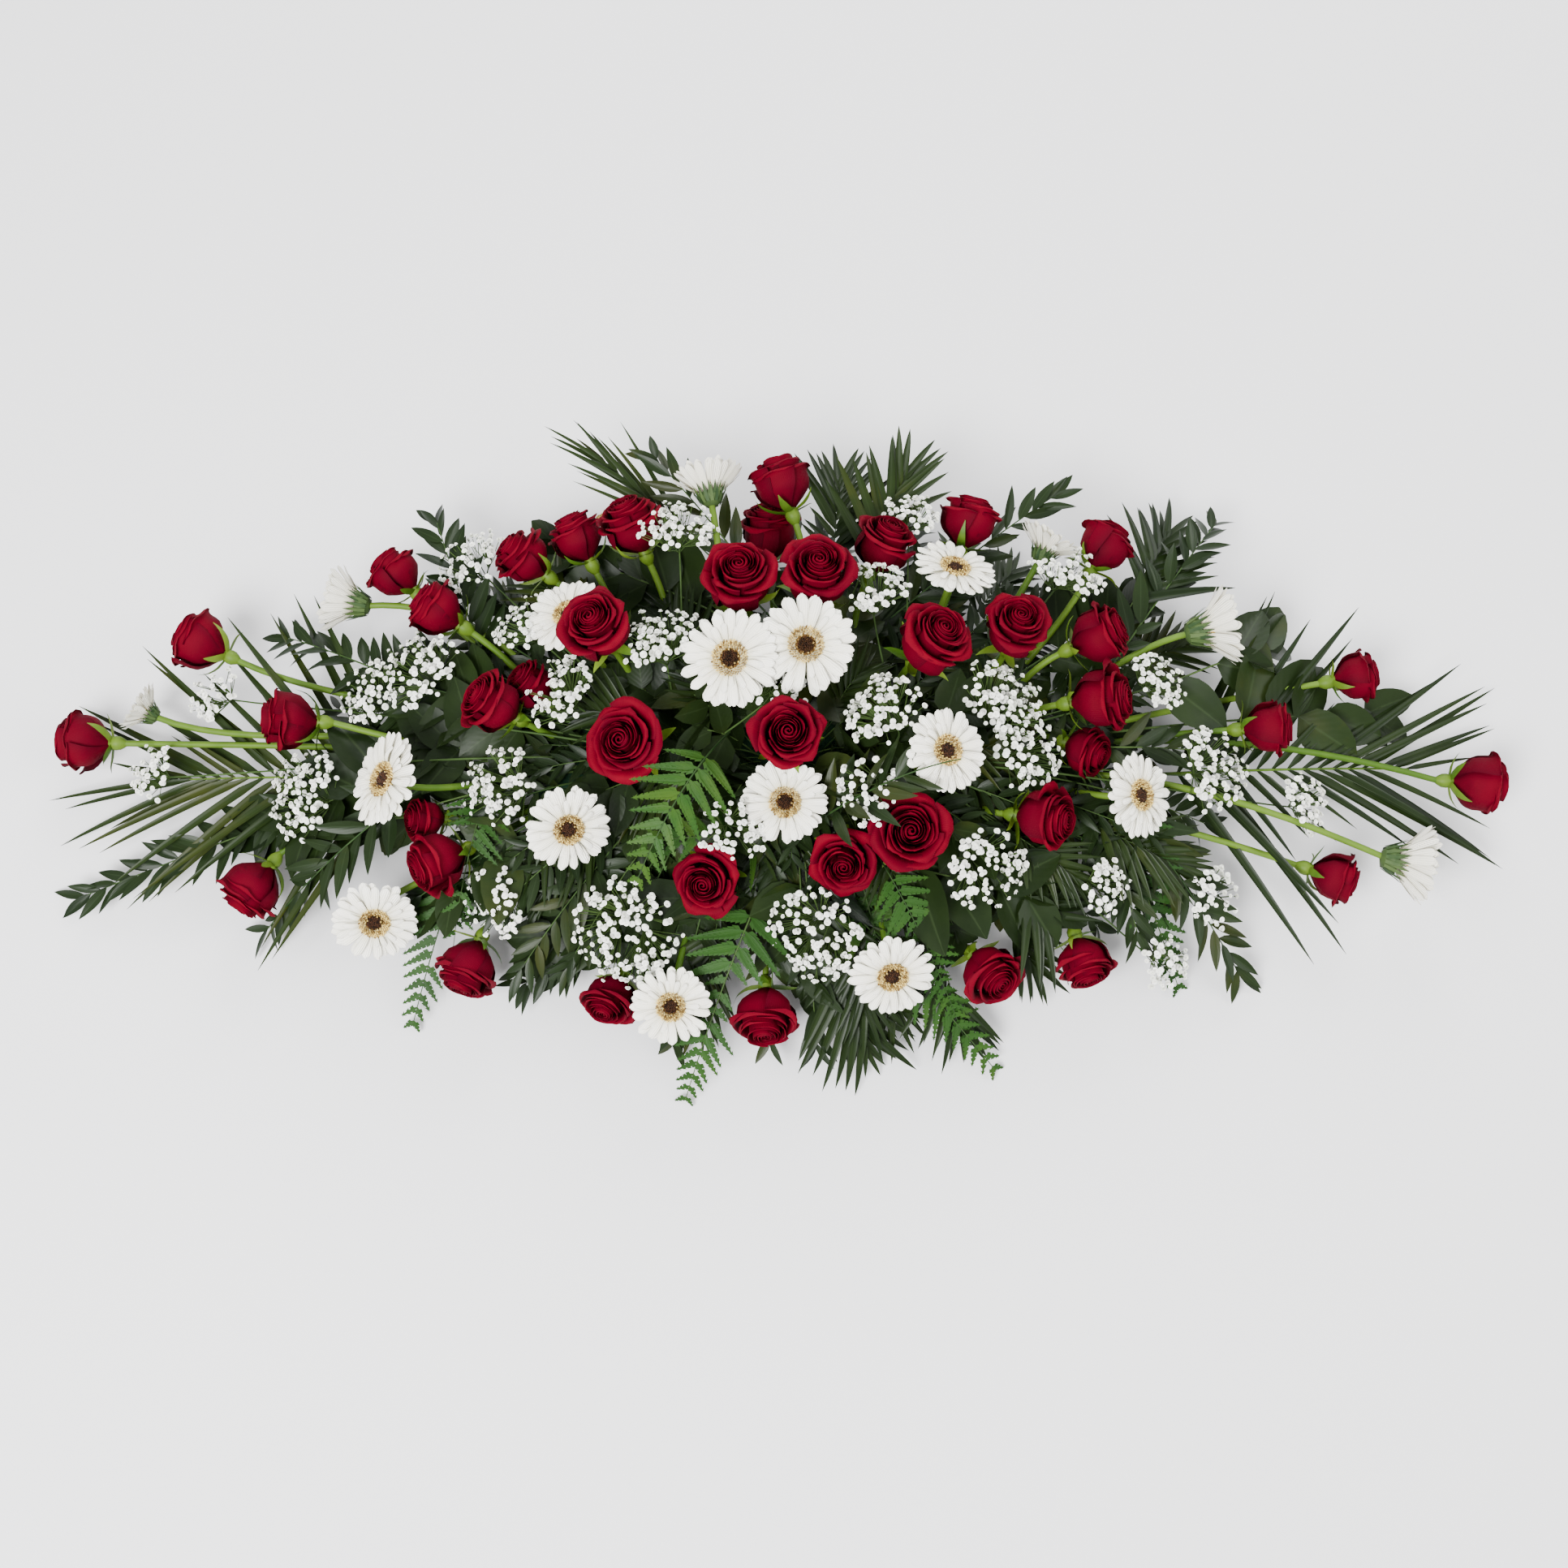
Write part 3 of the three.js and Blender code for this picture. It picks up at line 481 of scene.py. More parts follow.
def stem_path(foot, neck, axis, dip, swing, count):
    """The line of a stem from its foot, curving to enter its bloom square on."""
    reach = np.linalg.norm(neck - foot)
    aside = aside_of(foot, neck)
    out = np.array([aside[1], -aside[0], 0])
    rise = STEM_RISE_SHARE * reach + STEM_CLIMB_SHARE * max(0, neck[2] - foot[2]) + dip
    start = foot + out * STEM_START_SHARE * reach + aside * swing
    start[2] = foot[2] + rise
    approach = neck - axis * STEM_APPROACH_SHARE * reach + aside * swing
    approach[2] = max(approach[2], (neck[2] + STEM_RISE) / 2)
    return along_curve([foot, start, approach, neck], count)


def cad_points(node):
    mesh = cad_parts[node].data
    points = np.zeros(len(mesh.vertices) * 3, np.float32)
    mesh.vertices.foreach_get("co", points)
    return points.reshape(-1, 3) / MM


def as_built(points, make, low, high):
    """The bend, of all that a stem may take, that has the most points of the solid round its knots."""
    best, most = (0, 0), -1
    for dip in DIPS:
        for swing in SWINGS:
            knots = make(dip, swing)
            gaps = np.linalg.norm(points[:, None] - knots[None], axis=2).min(axis=1)
            hits = ((gaps > low) & (gaps < high)).sum()
            if hits > most:
                best, most = (dip, swing), hits
    return best


def flower_stem(piece, points, row, base, sunk):
    x, y, z, azimuth, elevation, width = row[1:7]
    axis = facing(azimuth, elevation)
    seat = np.array([x, y, z]) - axis * base * width
    neck = seat + axis * sunk
    foot = np.clip(np.array([x, y, z]) * FOOT_SHARE, FOOT_LOW, FOOT_HIGH)
    steps = 3 if np.linalg.norm(neck - foot) > LONG_STEM else 2

    def path(dip, swing, count):
        return stem_path(foot + aside_of(foot, neck) * 0.5 * swing, neck, axis, dip, swing, count)

    dip, swing = as_built(points, lambda d, s: path(d, s, steps + 1)[:-1], *STEM_CORNERS)
    radii = np.linspace(*STEM_RADII, STEM_POINTS)
    piece.tube(path(dip, swing, STEM_POINTS), radii, 8, "stem", random.random())
    return seat, axis


# Roses

# Rose petals from the heart outwards: how many, the rim's radius for the first and the last of the
# layer as a share of the head's width, the angle that half a petal spans, and how much it winds in
ROSE_LAYERS = (
    (10, (0.015, 0.16), (125, 95), 0.24),
    (5, (0.185, 0.23), (80, 72), 0.14),
    (5, (0.28, 0.325), (66, 60), 0.12),
    (5, (0.40, 0.44), (62, 54), 0.10),
)

# The outermost rim, and the radius that no petal passes
ROSE_REACH = 0.5
ROSE_EDGE = 0.515

# Heads that face lower than this are buds, and those that face higher than that are fully open
BUD_ELEVATION = 15
OPEN_ELEVATION = 55

PETAL_POINTS = 11
PROFILE_POINTS = 41

# The core that the petals stand round, painted dark as the shade down in the heart, as radius and height in
# shares of the head's width
ROSE_CORE = [
    (0.045, -0.36), (0.13, -0.29), (0.20, -0.21), (0.25, -0.12), (0.22, -0.03), (0.12, 0.01), (0.01, 0.02),
]
CORE_SIDES = 14


def petal_profile(outer, rim, flare, lift, open_):
    """Radius and height of a petal's middle line, from its foot over its belly to the rolled rim."""
    top = 0.375 - 1.5 * max(0, rim - 0.1) ** 2 - 0.25 * max(0, 0.1 - rim)
    tuck = 0.03 * max(0, 1 - outer / 0.45)
    turned = (0.08 + 0.11 * open_) * outer**2.2
    knots = [
        (0.02 + 0.05 * outer, -0.24 - 0.14 * outer),
        (0.36 * outer**0.8 + 0.01 + 0.5 * tuck, 0.06 - 0.22 * outer),
        (rim - turned + tuck, top - 0.09 + 0.5 * lift),
        (rim - 0.3 * turned + 0.6 * flare + 0.5 * tuck, top - 0.5 * tuck + lift),
        (rim + flare - 0.2 * tuck, top - 0.055 * outer**2 + lift),
    ]
    return smooth_through(knots, PROFILE_POINTS).T


def petal_shape(profile, outer, half_angle, wind, open_):
    """Radius, height and angle of a petal's points, and their place across and along it. The rim comes
    to a soft point and ripples, more so on the outer petals."""
    u = np.linspace(-1, 1, PETAL_POINTS)[None, :]
    drop = 0.10 + 0.16 * outer
    v = np.linspace(0, 1, PETAL_POINTS)[:, None] ** 0.8 * (1 - drop * np.abs(u) ** 2)
    radius, height = (np.interp(v, np.linspace(0, 1, PROFILE_POINTS), line) for line in profile)
    high = np.clip((v - 0.5) / 0.5, 0, 1)
    edge = np.clip((np.abs(u) - 0.45) / 0.55, 0, 1) ** 1.5 * high
    middle = random.uniform(-0.3, 0.3)
    pointed = np.exp(-(np.abs(u - middle) / 0.26) ** 1.3)
    point = random.uniform(0.35, 0.9) * outer**2 * pointed * high**3
    wave = np.sin(2.1 * u * math.pi + random.uniform(0, TURN)) * high**2
    ripple = 0.003 + (0.011 + 0.009 * open_) * outer
    radius = radius * (1 + wind * u)
    radius = radius - 0.012 * outer * edge + 0.10 * point + ripple * wave
    height = height - 0.05 * outer * edge - 0.02 * point + (0.006 + 0.022 * outer**2) * wave
    spread = 0.62 + 0.38 * np.sin(np.clip(v / 0.6, 0, 1) * math.pi / 2)
    return np.minimum(radius, ROSE_EDGE), height, half_angle * u * spread, (np.broadcast_to(u, v.shape), v)


def rose(piece, row):
    x, y, z, azimuth, elevation, width = row[1:]
    axes = axes_of(facing(azimuth, elevation))
    centre = np.array([x, y, z], float)
    phase = random.uniform(0, TURN)
    open_ = float(np.clip((elevation - BUD_ELEVATION) / (OPEN_ELEVATION - BUD_ELEVATION), 0, 1))
    for count, rims, spans, wind in ROSE_LAYERS:
        for k in range(count):
            share = k / (count - 1)
            rim = between(rims, share)
            rim += 0.02 * (1 - open_) * (0.15 < rim < 0.39)
            outer = rim / ROSE_REACH
            flare = random.uniform(-0.03, 0.03) * outer
            lift = random.uniform(-0.17 + 0.09 * open_, 0.03) * outer**2
            phase += GOLDEN_ANGLE + random.uniform(-0.15, 0.15)
            profile = petal_profile(outer, rim, flare, lift, open_)
            half_angle = math.radians(between(spans, share))
            radius, height, turned, place = petal_shape(profile, outer, half_angle, wind, open_)
            flat = around(axes, phase + turned)
            points = centre + width * (radius[..., None] * flat + height[..., None] * axes[2])
            # The tone holds painted shade that grows towards the heart, plus random tone from petal to petal
            tone = 0.4 * (1 - outer) + 0.7 * random.random() ** 1.5
            piece.grid(points, "rose_petal", tone, place=place)
    # The core takes the darkest tone and the colour of a petal's foot: painted shade down in the heart
    flat = circle(axes, CORE_SIDES)
    rings = np.array([centre + width * (r * flat + h * axes[2]) for r, h in ROSE_CORE])
    nowhere = np.zeros(rings.shape[:2])
    piece.grid(rings, "rose_petal", 1.0, round_=True, place=(nowhere, nowhere))


# The line of a sepal as shares of the head's width: radius and height over the head's middle, for one
# that hugs the head and for one that bends back
SEPAL_HUGGING = [(0.07, -0.40), (0.24, -0.345), (0.375, -0.20), (0.425, 0.0)]
SEPAL_BENT = [(0.07, -0.40), (0.23, -0.375), (0.37, -0.37), (0.49, -0.43)]
SEPALS = 5
SEPAL_POINTS = 8
SEPAL_STEPS = 30

# Height over the seat and radius of the swelling under a rose, in millimetres
HIP_PROFILE = [(-12, 3.2), (-10, 4.6), (-6, 6.8), (-2, 7.2), (1, 6.4), (4, 5.2)]
HIP_SIDES = 10


def hip(piece, seat, axis, width):
    """The swelling under a rose and its five sepals."""
    axes = axes_of(axis)
    flat = circle(axes, HIP_SIDES)
    piece.grid(np.array([seat + axis * h + r * flat for h, r in HIP_PROFILE]), "sepal", 0.5, round_=True)
    turn = random.uniform(0, TURN)
    centre = seat + axis * ROSE_BASE * width
    v = np.linspace(0, 1, SEPAL_POINTS)
    half = 0.14 * width * (1 - v) ** 1.3 * (0.35 + v) + 0.3
    for k in range(SEPALS):
        out = around(axes, turn + k / SEPALS * TURN + random.uniform(-0.15, 0.15))
        bent = random.uniform(0, 0.45) if k % 2 else random.uniform(0.3, 1.0)
        long = random.uniform(0.8, 1.0)
        knots = np.array(SEPAL_HUGGING) * (1 - bent) + np.array(SEPAL_BENT) * bent
        kept = np.round(np.linspace(0, SEPAL_STEPS * long, SEPAL_POINTS)).astype(int)
        line = smooth_through(knots, SEPAL_STEPS + 1)[kept] * width
        middle = centre + np.outer(line[:, 0], out) + np.outer(line[:, 1], axis)
        side = np.cross(axis, out) * half[:, None]
        raised = axis * (0.3 * half[:, None])
        points = np.stack([middle - side + raised, middle, middle + side + raised], 1)
        piece.grid(points, "sepal", random.random())


# Gerberas

# Layers of petals: how many, how far they reach and their width as shares of the bloom's width, and how
# many millimetres the layer lies above the first
GERBERA_LAYERS = ((20, 0.5, 0.108, 0.0), (19, 0.475, 0.10, 2.2), (16, 0.30, 0.065, 3.2))

# Blooms that face lower than this are seen from the side, and their petals are in shade
SIDE_ELEVATION = 30

POLLEN_FLORETS = 140
SHORT_FLORETS = 30
EYE_FLORETS = 70

# The cup's height and radius, and the bracts on it as how many and how low they start, in shares of the
# bloom's width
GERBERA_CUP_PROFILE = [(-0.17, 0.03), (-0.155, 0.075), (-0.12, 0.115), (-0.07, 0.145), (-0.02, 0.15)]
CUP_SIDES = 16
BRACTS = ((15, -0.14), (18, -0.10))


class Face:
    """The face of a gerbera, with points on it by radius, angle and height."""

    def __init__(self, row):
        x, y, z, azimuth, self.elevation, self.width, self.lean = row[1:]
        self.axes = axes_of(facing(azimuth, self.elevation))
        self.centre = np.array([x, y, z], float)

    def at(self, radius, angle, height):
        radius, height = np.asarray(radius)[..., None], np.asarray(height)[..., None]
        return self.centre + radius * around(self.axes, angle) + height * self.axes[2]

    def bowl(self, profile):
        """Rings of points from rows of radius and height."""
        flat = circle(self.axes, CUP_SIDES)
        return np.array([self.centre + r * flat + h * self.axes[2] for r, h in profile])


def ray_petals(piece, face):
    width, lean = face.width, face.lean
    shade = 1.0 if face.elevation < SIDE_ELEVATION else 0.0
    v = 1 - (1 - np.linspace(0, 1, 9)[:, None]) ** 1.7
    u = np.linspace(-1, 1, 5)[None, :]
    spread = math.sqrt(0.25 - lean**2) / 0.5
    blunt = np.sqrt(1 - 0.93 * np.clip((v - 0.86) / 0.14, 0, 1) ** 2)
    form = (0.42 + 0.58 * np.sin(np.clip(v / 0.8, 0, 1) * math.pi / 2)) * blunt
    notch = 1 - 0.03 * np.abs(u) ** 2 - 0.018 * np.exp(-((u / 0.25) ** 2)) * (v > 0.9)
    for layer, (count, reach, wide, up) in enumerate(GERBERA_LAYERS):
        sag = 1.8 if layer == 0 else 0.6
        turn = random.uniform(0, TURN)
        for k in range(count):
            a = turn + (k + random.uniform(-0.25, 0.25)) / count * TURN
            half = 0.5 * width * wide * form * random.uniform(0.88, 1.08)
            long = spread * reach * random.uniform(0.91, 1.0) - 0.1
            radius = width * (0.1 + 0.04 * (layer // 2) + long * v * notch)
            side = u * half
            tilt = random.uniform(-0.12, 0.12)
            arch = random.uniform(0.1, 1.0) * 0.045 * width * np.sin(v * math.pi)
            arch = arch + random.uniform(-0.02, 0.03) * width * v**2
            height = up + lean * width * v**1.3 + arch - sag * v * (1 - 2 * lean)
            height = height - 0.9 * np.abs(u) ** 1.5 * form + tilt * side
            angle = a + side / np.maximum(radius, 1)
            piece.grid(face.at(radius, angle, height), "gerbera_petal", shade + random.random())


def pollen_ring(piece, face):
    """Florets between the eye and the petals, paler outwards."""
    width, up = face.width, face.axes[2]
    offsets = 0.8 * circle(face.axes, 4)
    for k in range(POLLEN_FLORETS):
        r = width * (0.068 + 0.095 * math.sqrt(k / POLLEN_FLORETS))
        a = k * GOLDEN_ANGLE
        tall = 3.4 if k > SHORT_FLORETS else 3.0
        under = 1.8 + face.lean * width * max(0, (r / width - 0.1) / 0.3) ** 1.3
        tip = under + 1.2 + tall - 0.9 * (r / width / 0.155) ** 2
        foot = face.at(r, a, under)
        head = face.at(r * 1.08, a, tip)
        rows = np.array([foot + offsets, head + 1.1 * offsets, head + 0.3 * offsets + up * 0.5])
        tone = random.random() * (0.55 + 0.45 * k / POLLEN_FLORETS)
        piece.grid(rows, "pollen", tone, round_=True)


def eye(piece, face):
    offsets = 0.75 * circle(face.axes, 4)
    for k in range(EYE_FLORETS):
        r = face.width * 0.08 * math.sqrt((k + 0.3) / EYE_FLORETS)
        a = k * GOLDEN_ANGLE + 1
        foot = face.at(r, a, 1.0)
        head = face.at(r, a, 4.2 + 0.8 * random.random())
        rows = np.array([foot + offsets, head + offsets, head + 0.2 * offsets + face.axes[2] * 0.7])
        piece.grid(rows, "eye", random.random(), round_=True)


def cup(piece, face):
    """The green cup, the floor under the florets, and two rows of bracts."""
    width, lean = face.width, face.lean
    piece.grid(face.bowl([(r * width, h * width) for h, r in GERBERA_CUP_PROFILE]), "bract", 0.6, round_=True)
    # The floor under the florets takes the darkest pollen tone: painted shade in the gaps between them
    ground = [(0.145 * width, 1.8 + lean * width * 0.085), (0.1 * width, 1.4), (0.03 * width, 1.4)]
    piece.grid(face.bowl(ground), "pollen", 0.0, round_=True)
    t = np.linspace(0, 1, 4)[:, None]
    s = np.array([-1, 0, 1])[None, :]
    for layer, (count, low) in enumerate(BRACTS):
        tip = 0.2 + 0.025 * layer
        high = lean * ((tip - 0.1) / 0.3) ** 1.3 - 0.014 + 0.005 * layer
        radius = width * (0.115 + (tip - 0.115) * t)
        height = width * (low + (high - low) * t**1.1) - 0.4 * np.abs(s)
        for k in range(count):
            b = (k + 0.5 * layer) / count * TURN
            angle = b + s * 0.16 * (1 - t) ** 0.8 + 0.012 * s
            piece.grid(face.at(radius, angle, height), "bract", random.random())


def gerbera(piece, row):
    face = Face(row)
    ray_petals(piece, face)
    pollen_ring(piece, face)
    eye(piece, face)
    cup(piece, face)


# The flowers, one piece for each node


def group_flowers(kind, rows, pressed):
    together = [n for group in pressed for n in group]
    groups = list(pressed) + [(r[0],) for r in rows if r[0] not in together]
    for group in groups:
        node = kind + "".join(f"_{n:02d}" for n in group)
        yield node, [r for r in rows if r[0] in group]


for node, members in group_flowers("rose", ROSES, PRESSED_ROSES):
    piece = Piece(node + "_bloom", ["rose_petal", "sepal", "stem"])
    solid = cad_points(node)
    for row in members:
        rose(piece, row)
        seat, axis = flower_stem(piece, solid, row, ROSE_BASE, -HIP_LENGTH)
        hip(piece, seat, axis, row[6])
    piece.finish("rose", node)

for node, members in group_flowers("gerbera", GERBERAS, PRESSED_GERBERAS):
    piece = Piece(node + "_bloom", ["gerbera_petal", "bract", "stem", "pollen", "eye"])
    solid = cad_points(node)
    for row in members:
        gerbera(piece, row)
        flower_stem(piece, solid, row, GERBERA_CUP, SUNK)
    piece.finish("gerbera", node)


# Gypsophila: the middle of each puff x, y, z and its radius
GYPSOPHILA = {
    "gypsophila_left": [
        (-605, -8, 52, 26), (-550, 70, 60, 28), (-452, -38, 80, 40), (-345, 78, 112, 40),
        (-300, 190, 100, 34), (-262, -42, 128, 36), (-205, 35, 165, 34), (-100, 190, 178, 34),
        (-112, 78, 190, 38), (-145, -172, 104, 48), (-268, -140, 82, 32), (-48, -92, 160, 30),
        (-10, 22, 206, 30), (-395, 60, 90, 30), (-240, 110, 140, 30),
    ],
    "gypsophila_right": [
        (85, 10, 205, 36), (75, 125, 190, 34), (196, 30, 162, 40), (217, -8, 140, 36),
        (72, -62, 188, 30), (180, -118, 122, 36), (25, -175, 108, 42), (290, -128, 96, 26),
        (398, -15, 92, 38), (488, -42, 68, 28), (400, -130, 56, 28), (262, 165, 135, 34),
        (345, 62, 122, 28), (352, -190, 46, 24), (115, 215, 150, 26),
    ],
}
STALK_FOOT = {"gypsophila_left": (-95, -12, 58), "gypsophila_right": (95, -12, 58)}
STALK_HEIGHT = 46
STALK_RADII = (2.4, 2.0, 1.6)
STALK_SEARCH = 60

# Layers of a floret's petals: how many, and their reach, height and half width as shares of its size;
# and the height and radius of its cup
FLORET_LAYERS = ((7, 1.0, 0.15, 0.62), (6, 0.72, 0.55, 0.55), (4, 0.35, 0.85, 0.45))
FLORET_CUP = ((-0.75, 0.1), (-0.35, 0.4), (0.15, 0.35))
FLORET_SIZES = (1.8, 3.2)
PUFF_BRANCHES = 6
FLORETS_PER_AREA = 0.098


def floret(piece, centre, axis, size, tone):
    """A small double flower: three layers of petals, each tighter and higher, and a green cup."""
    axes = axes_of(axis)
    for count, reach, lift, wide in FLORET_LAYERS:
        turn = random.uniform(0, TURN)
        for k in range(count):
            out = around(axes, turn + (k + random.uniform(-0.2, 0.2)) / count * TURN)
            side = np.cross(axis, out)
            high = size * (lift + random.uniform(-0.15, 0.15))
            belly = centre + out * size * 0.55 * reach + axis * (0.6 * high)
            tip = centre + out * size * reach + axis * high
            rows = ((centre, 0.12), (belly, wide), (tip, 0.5 * wide))
            points = np.array([[m - side * h * size, m + side * h * size] for m, h in rows])
            points[1] += axis * 0.1 * size
            piece.grid(points, "gypsophila", tone)
    flat = circle(axes, 5)
    rows = np.array([centre + axis * h * size + r * size * flat for h, r in FLORET_CUP])
    piece.grid(rows, "twig", 0.9, round_=True)


def puff(piece, fork, x, y, z, spread):
    """A branch from the fork, six twigs at its end, and florets on them spread over a dome."""
    centre = np.array([x, y, z], float)
    axis = unit(np.array([*(0.6 * unit(centre[:2] - fork[:2])), 0.8]))
    neck = centre - axis * 0.75 * spread
    path = stem_path(fork, neck, axis, 0, 0, 12)
    piece.tube(path, np.linspace(1.2, 0.8, 12), 5, "twig", 0.5)
    axes = axes_of(axis)
    count = int(FLORETS_PER_AREA * spread**2)
    for branch in range(PUFF_BRANCHES):
        a = branch / PUFF_BRANCHES * TURN + random.uniform(-0.4, 0.4)
        out = around(axes, a)
        joint = neck + axis * spread * random.uniform(0.15, 0.4) + out * spread * random.uniform(0.2, 0.35)
        line = along_curve([neck, 0.5 * (neck + joint) + axis * 3, joint], 4)
        piece.tube(line, [0.6, 0.5, 0.5, 0.4], 4, "twig")
        for _ in range(count // PUFF_BRANCHES):
            share = math.sqrt(random.random())
            flat = around(axes, a + random.uniform(-0.75, 0.75))
            top = 0.5 * math.sqrt(1 - 0.9 * share**2)
            height = spread * (top * random.uniform(0.5, 1.0) + random.uniform(-0.35, 0.1))
            end = centre + flat * 1.08 * spread * share + axis * height
            if not clear_of_blooms(end, 1.0):
                continue
            ahead = unit(end - neck + np.array([0, 0, 25]))
            size = random.uniform(*FLORET_SIZES)
            bend = 0.5 * (joint + end) - ahead * 4
            piece.tube(along_curve([joint, bend, end - ahead * size], 4), 0.42, 3, "twig", 0.9)
            floret(piece, end, ahead, size, random.random())


for node, rows in GYPSOPHILA.items():
    piece = Piece(node + "_spray", ["gypsophila", "twig"])
    solid = cad_points(node)
    # The solid's stalk may stand a little off its planned place, so its foot is found there
    planned = np.array(STALK_FOOT[node])
    near = np.linalg.norm(solid - planned, axis=1) < STALK_SEARCH
    foot = solid[near & (np.abs(solid[:, 2] - planned[2]) < 0.5)].mean(0)
    fork = foot + (0, 0, STALK_HEIGHT)
    piece.tube(np.array([foot, 0.5 * (foot + fork), fork]), STALK_RADII, 6, "twig")
    for row in rows:
        puff(piece, fork, *row)
    piece.finish("gypsophila", node)


# Greenery


def lance(v):
    return np.sin(math.pi * v**0.8) ** 0.85


def oval(v):
    return np.sin(math.pi * np.clip(v, 0, 1) ** 0.8) ** 0.6 * (1 - 0.12 * v)


def strap(v):
    return np.minimum(1, 0.25 + 6 * v) * (1 - v**2.2) ** 0.8


# Kinds by the length, width and angle of a leaf at the first and the last pair, the step between pairs,
# the share of bare stalk, the rib's radius, and the leaf's outline, fold and droop
KINDS = {
    "palm": ((215, 165), (10.5, 7.5), (62, 14), 15, 0.42, 2.2, strap, 0.7, 0.10),
    "small_palm": ((95, 70), (11, 8), (50, 12), 10, 0.6, 1.1, strap, 0.6, 0.12),
    "fern": ((64, 14), (19, 9), (62, 40), 15, 0.3, 1.1, lance, 0.3, 0.1),
    "ruscus": ((56, 36), (15, 9), (48, 24), 17, 0.35, 1.3, lance, 0.25, 0.1),
    "salal": ((84, 56), (52, 36), (58, 22), 26, 0.5, 1.6, oval, 0.22, 0.1),
    "grass": ((120, 90), (6, 5), (16, 6), 18, 0.65, 1.1, strap, 0.3, 0.2),
}
LEAF_MATERIAL = {"small_palm": "palm", "grass": "palm"}

# Leaves that grow in turn, one on each side, stray and roll more than leaflets in pairs do
BROAD = ("ruscus", "salal")
STRAY = {True: 14, False: 6}
LIFT = {True: (-12, 20), False: (2, 14)}

# A leaf that has no room is tried again at these shares of its last length
SHORTER = (1, 0.8, 0.62)


def blade_points(base, along, side, up, length, width, form, fold, droop, rows, columns):
    """A leaf as a grid, folded along its midrib and hanging at its tip."""
    v = np.linspace(0, 1, rows)[:, None]
    u = np.linspace(-1, 1, columns)[None, :]
    half = 0.5 * width * np.maximum(form(v), 0.03)
    height = fold * half * np.abs(u) - droop * length * v**2
    flat = base + along * (length * v)[..., None] + side * (half * u)[..., None]
    return flat + up * height[..., None]


def frame_at(curve, k):
    """Ahead, side and up at a point of a curve."""
    ahead = unit(curve[min(k + 1, len(curve) - 1)] - curve[max(k - 1, 0)])
    side = np.cross((0, 0, 1), ahead)
    side = unit(side) if np.linalg.norm(side) > 0.05 else np.array([1.0, 0, 0])
    return ahead, side, np.cross(ahead, side)


def pinna(piece, base, along, side, up, length, width, tone):
    """One leaflet of a fern, itself cut into small slanted lobes on both sides."""
    count = max(3, int(length / 5))
    wide = 1.1 * length / count
    for k in range(count):
        share = (k + 0.5) / count
        lobe = 0.62 * width * (1 - 0.88 * share)
        root = base + along * length * share * 0.96 - up * 0.1 * length * share**2
        for hand in (1, -1):
            out = unit(along * 1.1 + side * hand)
            across = np.cross(up, out)
            piece.grid(blade_points(root, out, across, up, lobe, wide, lance, 0.1, 0.1, 3, 3), "fern", tone)
    middle = blade_points(base, along, side, up, length, 0.4 * width, strap, 0.2, 0.1, 6, 3)
    piece.grid(middle, "fern", tone)


def leaf_axes(kind, ahead, side, up, hand, angle):
    """Along, across and out of a leaf that leaves its rib at an angle in degrees."""
    broad = kind in BROAD
    turn = math.radians(angle + random.uniform(-STRAY[broad], STRAY[broad]))
    lift = math.radians(random.uniform(*LIFT[broad]))
    out = ahead * math.cos(turn) + side * hand * math.sin(turn)
    along = unit(out * math.cos(lift) + up * math.sin(lift))
    across = unit(np.cross(up, along))
    normal = np.cross(along, across)
    if not broad:
        return along, across, normal
    roll = random.uniform(-0.6, 0.6)
    rolled = across * math.cos(roll) + normal * math.sin(roll)
    return along, rolled, normal * math.cos(roll) - across * math.sin(roll)


def twig(piece, kind, curve, size=1.0, rows=8, columns=5):
    """A frond or leafy twig along a curve; a leaf is made shorter or left out where a bloom stands."""
    lengths, widths, angles, step, bare, rib, form, fold, droop = KINDS[kind]
    broad = kind in BROAD
    columns = columns if broad else 3
    curve = np.asarray(curve)
    steps = np.linalg.norm(np.diff(curve, axis=0), axis=1)
    reach = steps.sum()
    radii = np.linspace(rib * size, 0.4 * (rib * size), len(curve))
    piece.tube(curve, radii, 5, "stem" if kind == "palm" else "twig", random.random())
    pairs = max(2, round((1 - bare) * reach / (step * size)))
    place = np.concatenate([[0], np.cumsum(steps)]) / reach
    tone = random.random()
    for k in range(pairs + 1):
        share = k / pairs
        where = bare + (1 - bare) * share * 0.985
        for hand in (1, -1):
            later = 0.4 / pairs if broad and hand > 0 else 0
            w = min(1.0, where + later)
            index = int(np.clip(np.searchsorted(place, w), 1, len(curve) - 1))
            t = (w - place[index - 1]) / (place[index] - place[index - 1])
            base = curve[index - 1] * (1 - t) + curve[index] * t
            length, width, angle = (between(ends, share) for ends in (lengths, widths, angles))
            length *= size * random.uniform(0.88, 1.05)
            width *= size * random.uniform(0.9, 1.08)
            if kind == "fern" and share < 0.4:
                length *= math.sin(math.pi * min(1, 0.25 + 0.75 * share)) ** 0.5
            axes = leaf_axes(kind, *frame_at(curve, index), hand, angle)
            for shorter in SHORTER:
                length *= shorter
                width *= shorter**0.5
                points = blade_points(base, *axes, length, width, form, fold, droop, rows, columns)
                room = in_box(points) and clear_of_blooms(points)
                if room:
                    break
            if not room:
                continue
            if kind == "fern":
                pinna(piece, base, *axes, length, width, 0.7 * tone + 0.3 * random.random())
            else:
                piece.grid(points, LEAF_MATERIAL.get(kind, kind), 0.6 * tone + 0.4 * random.random())


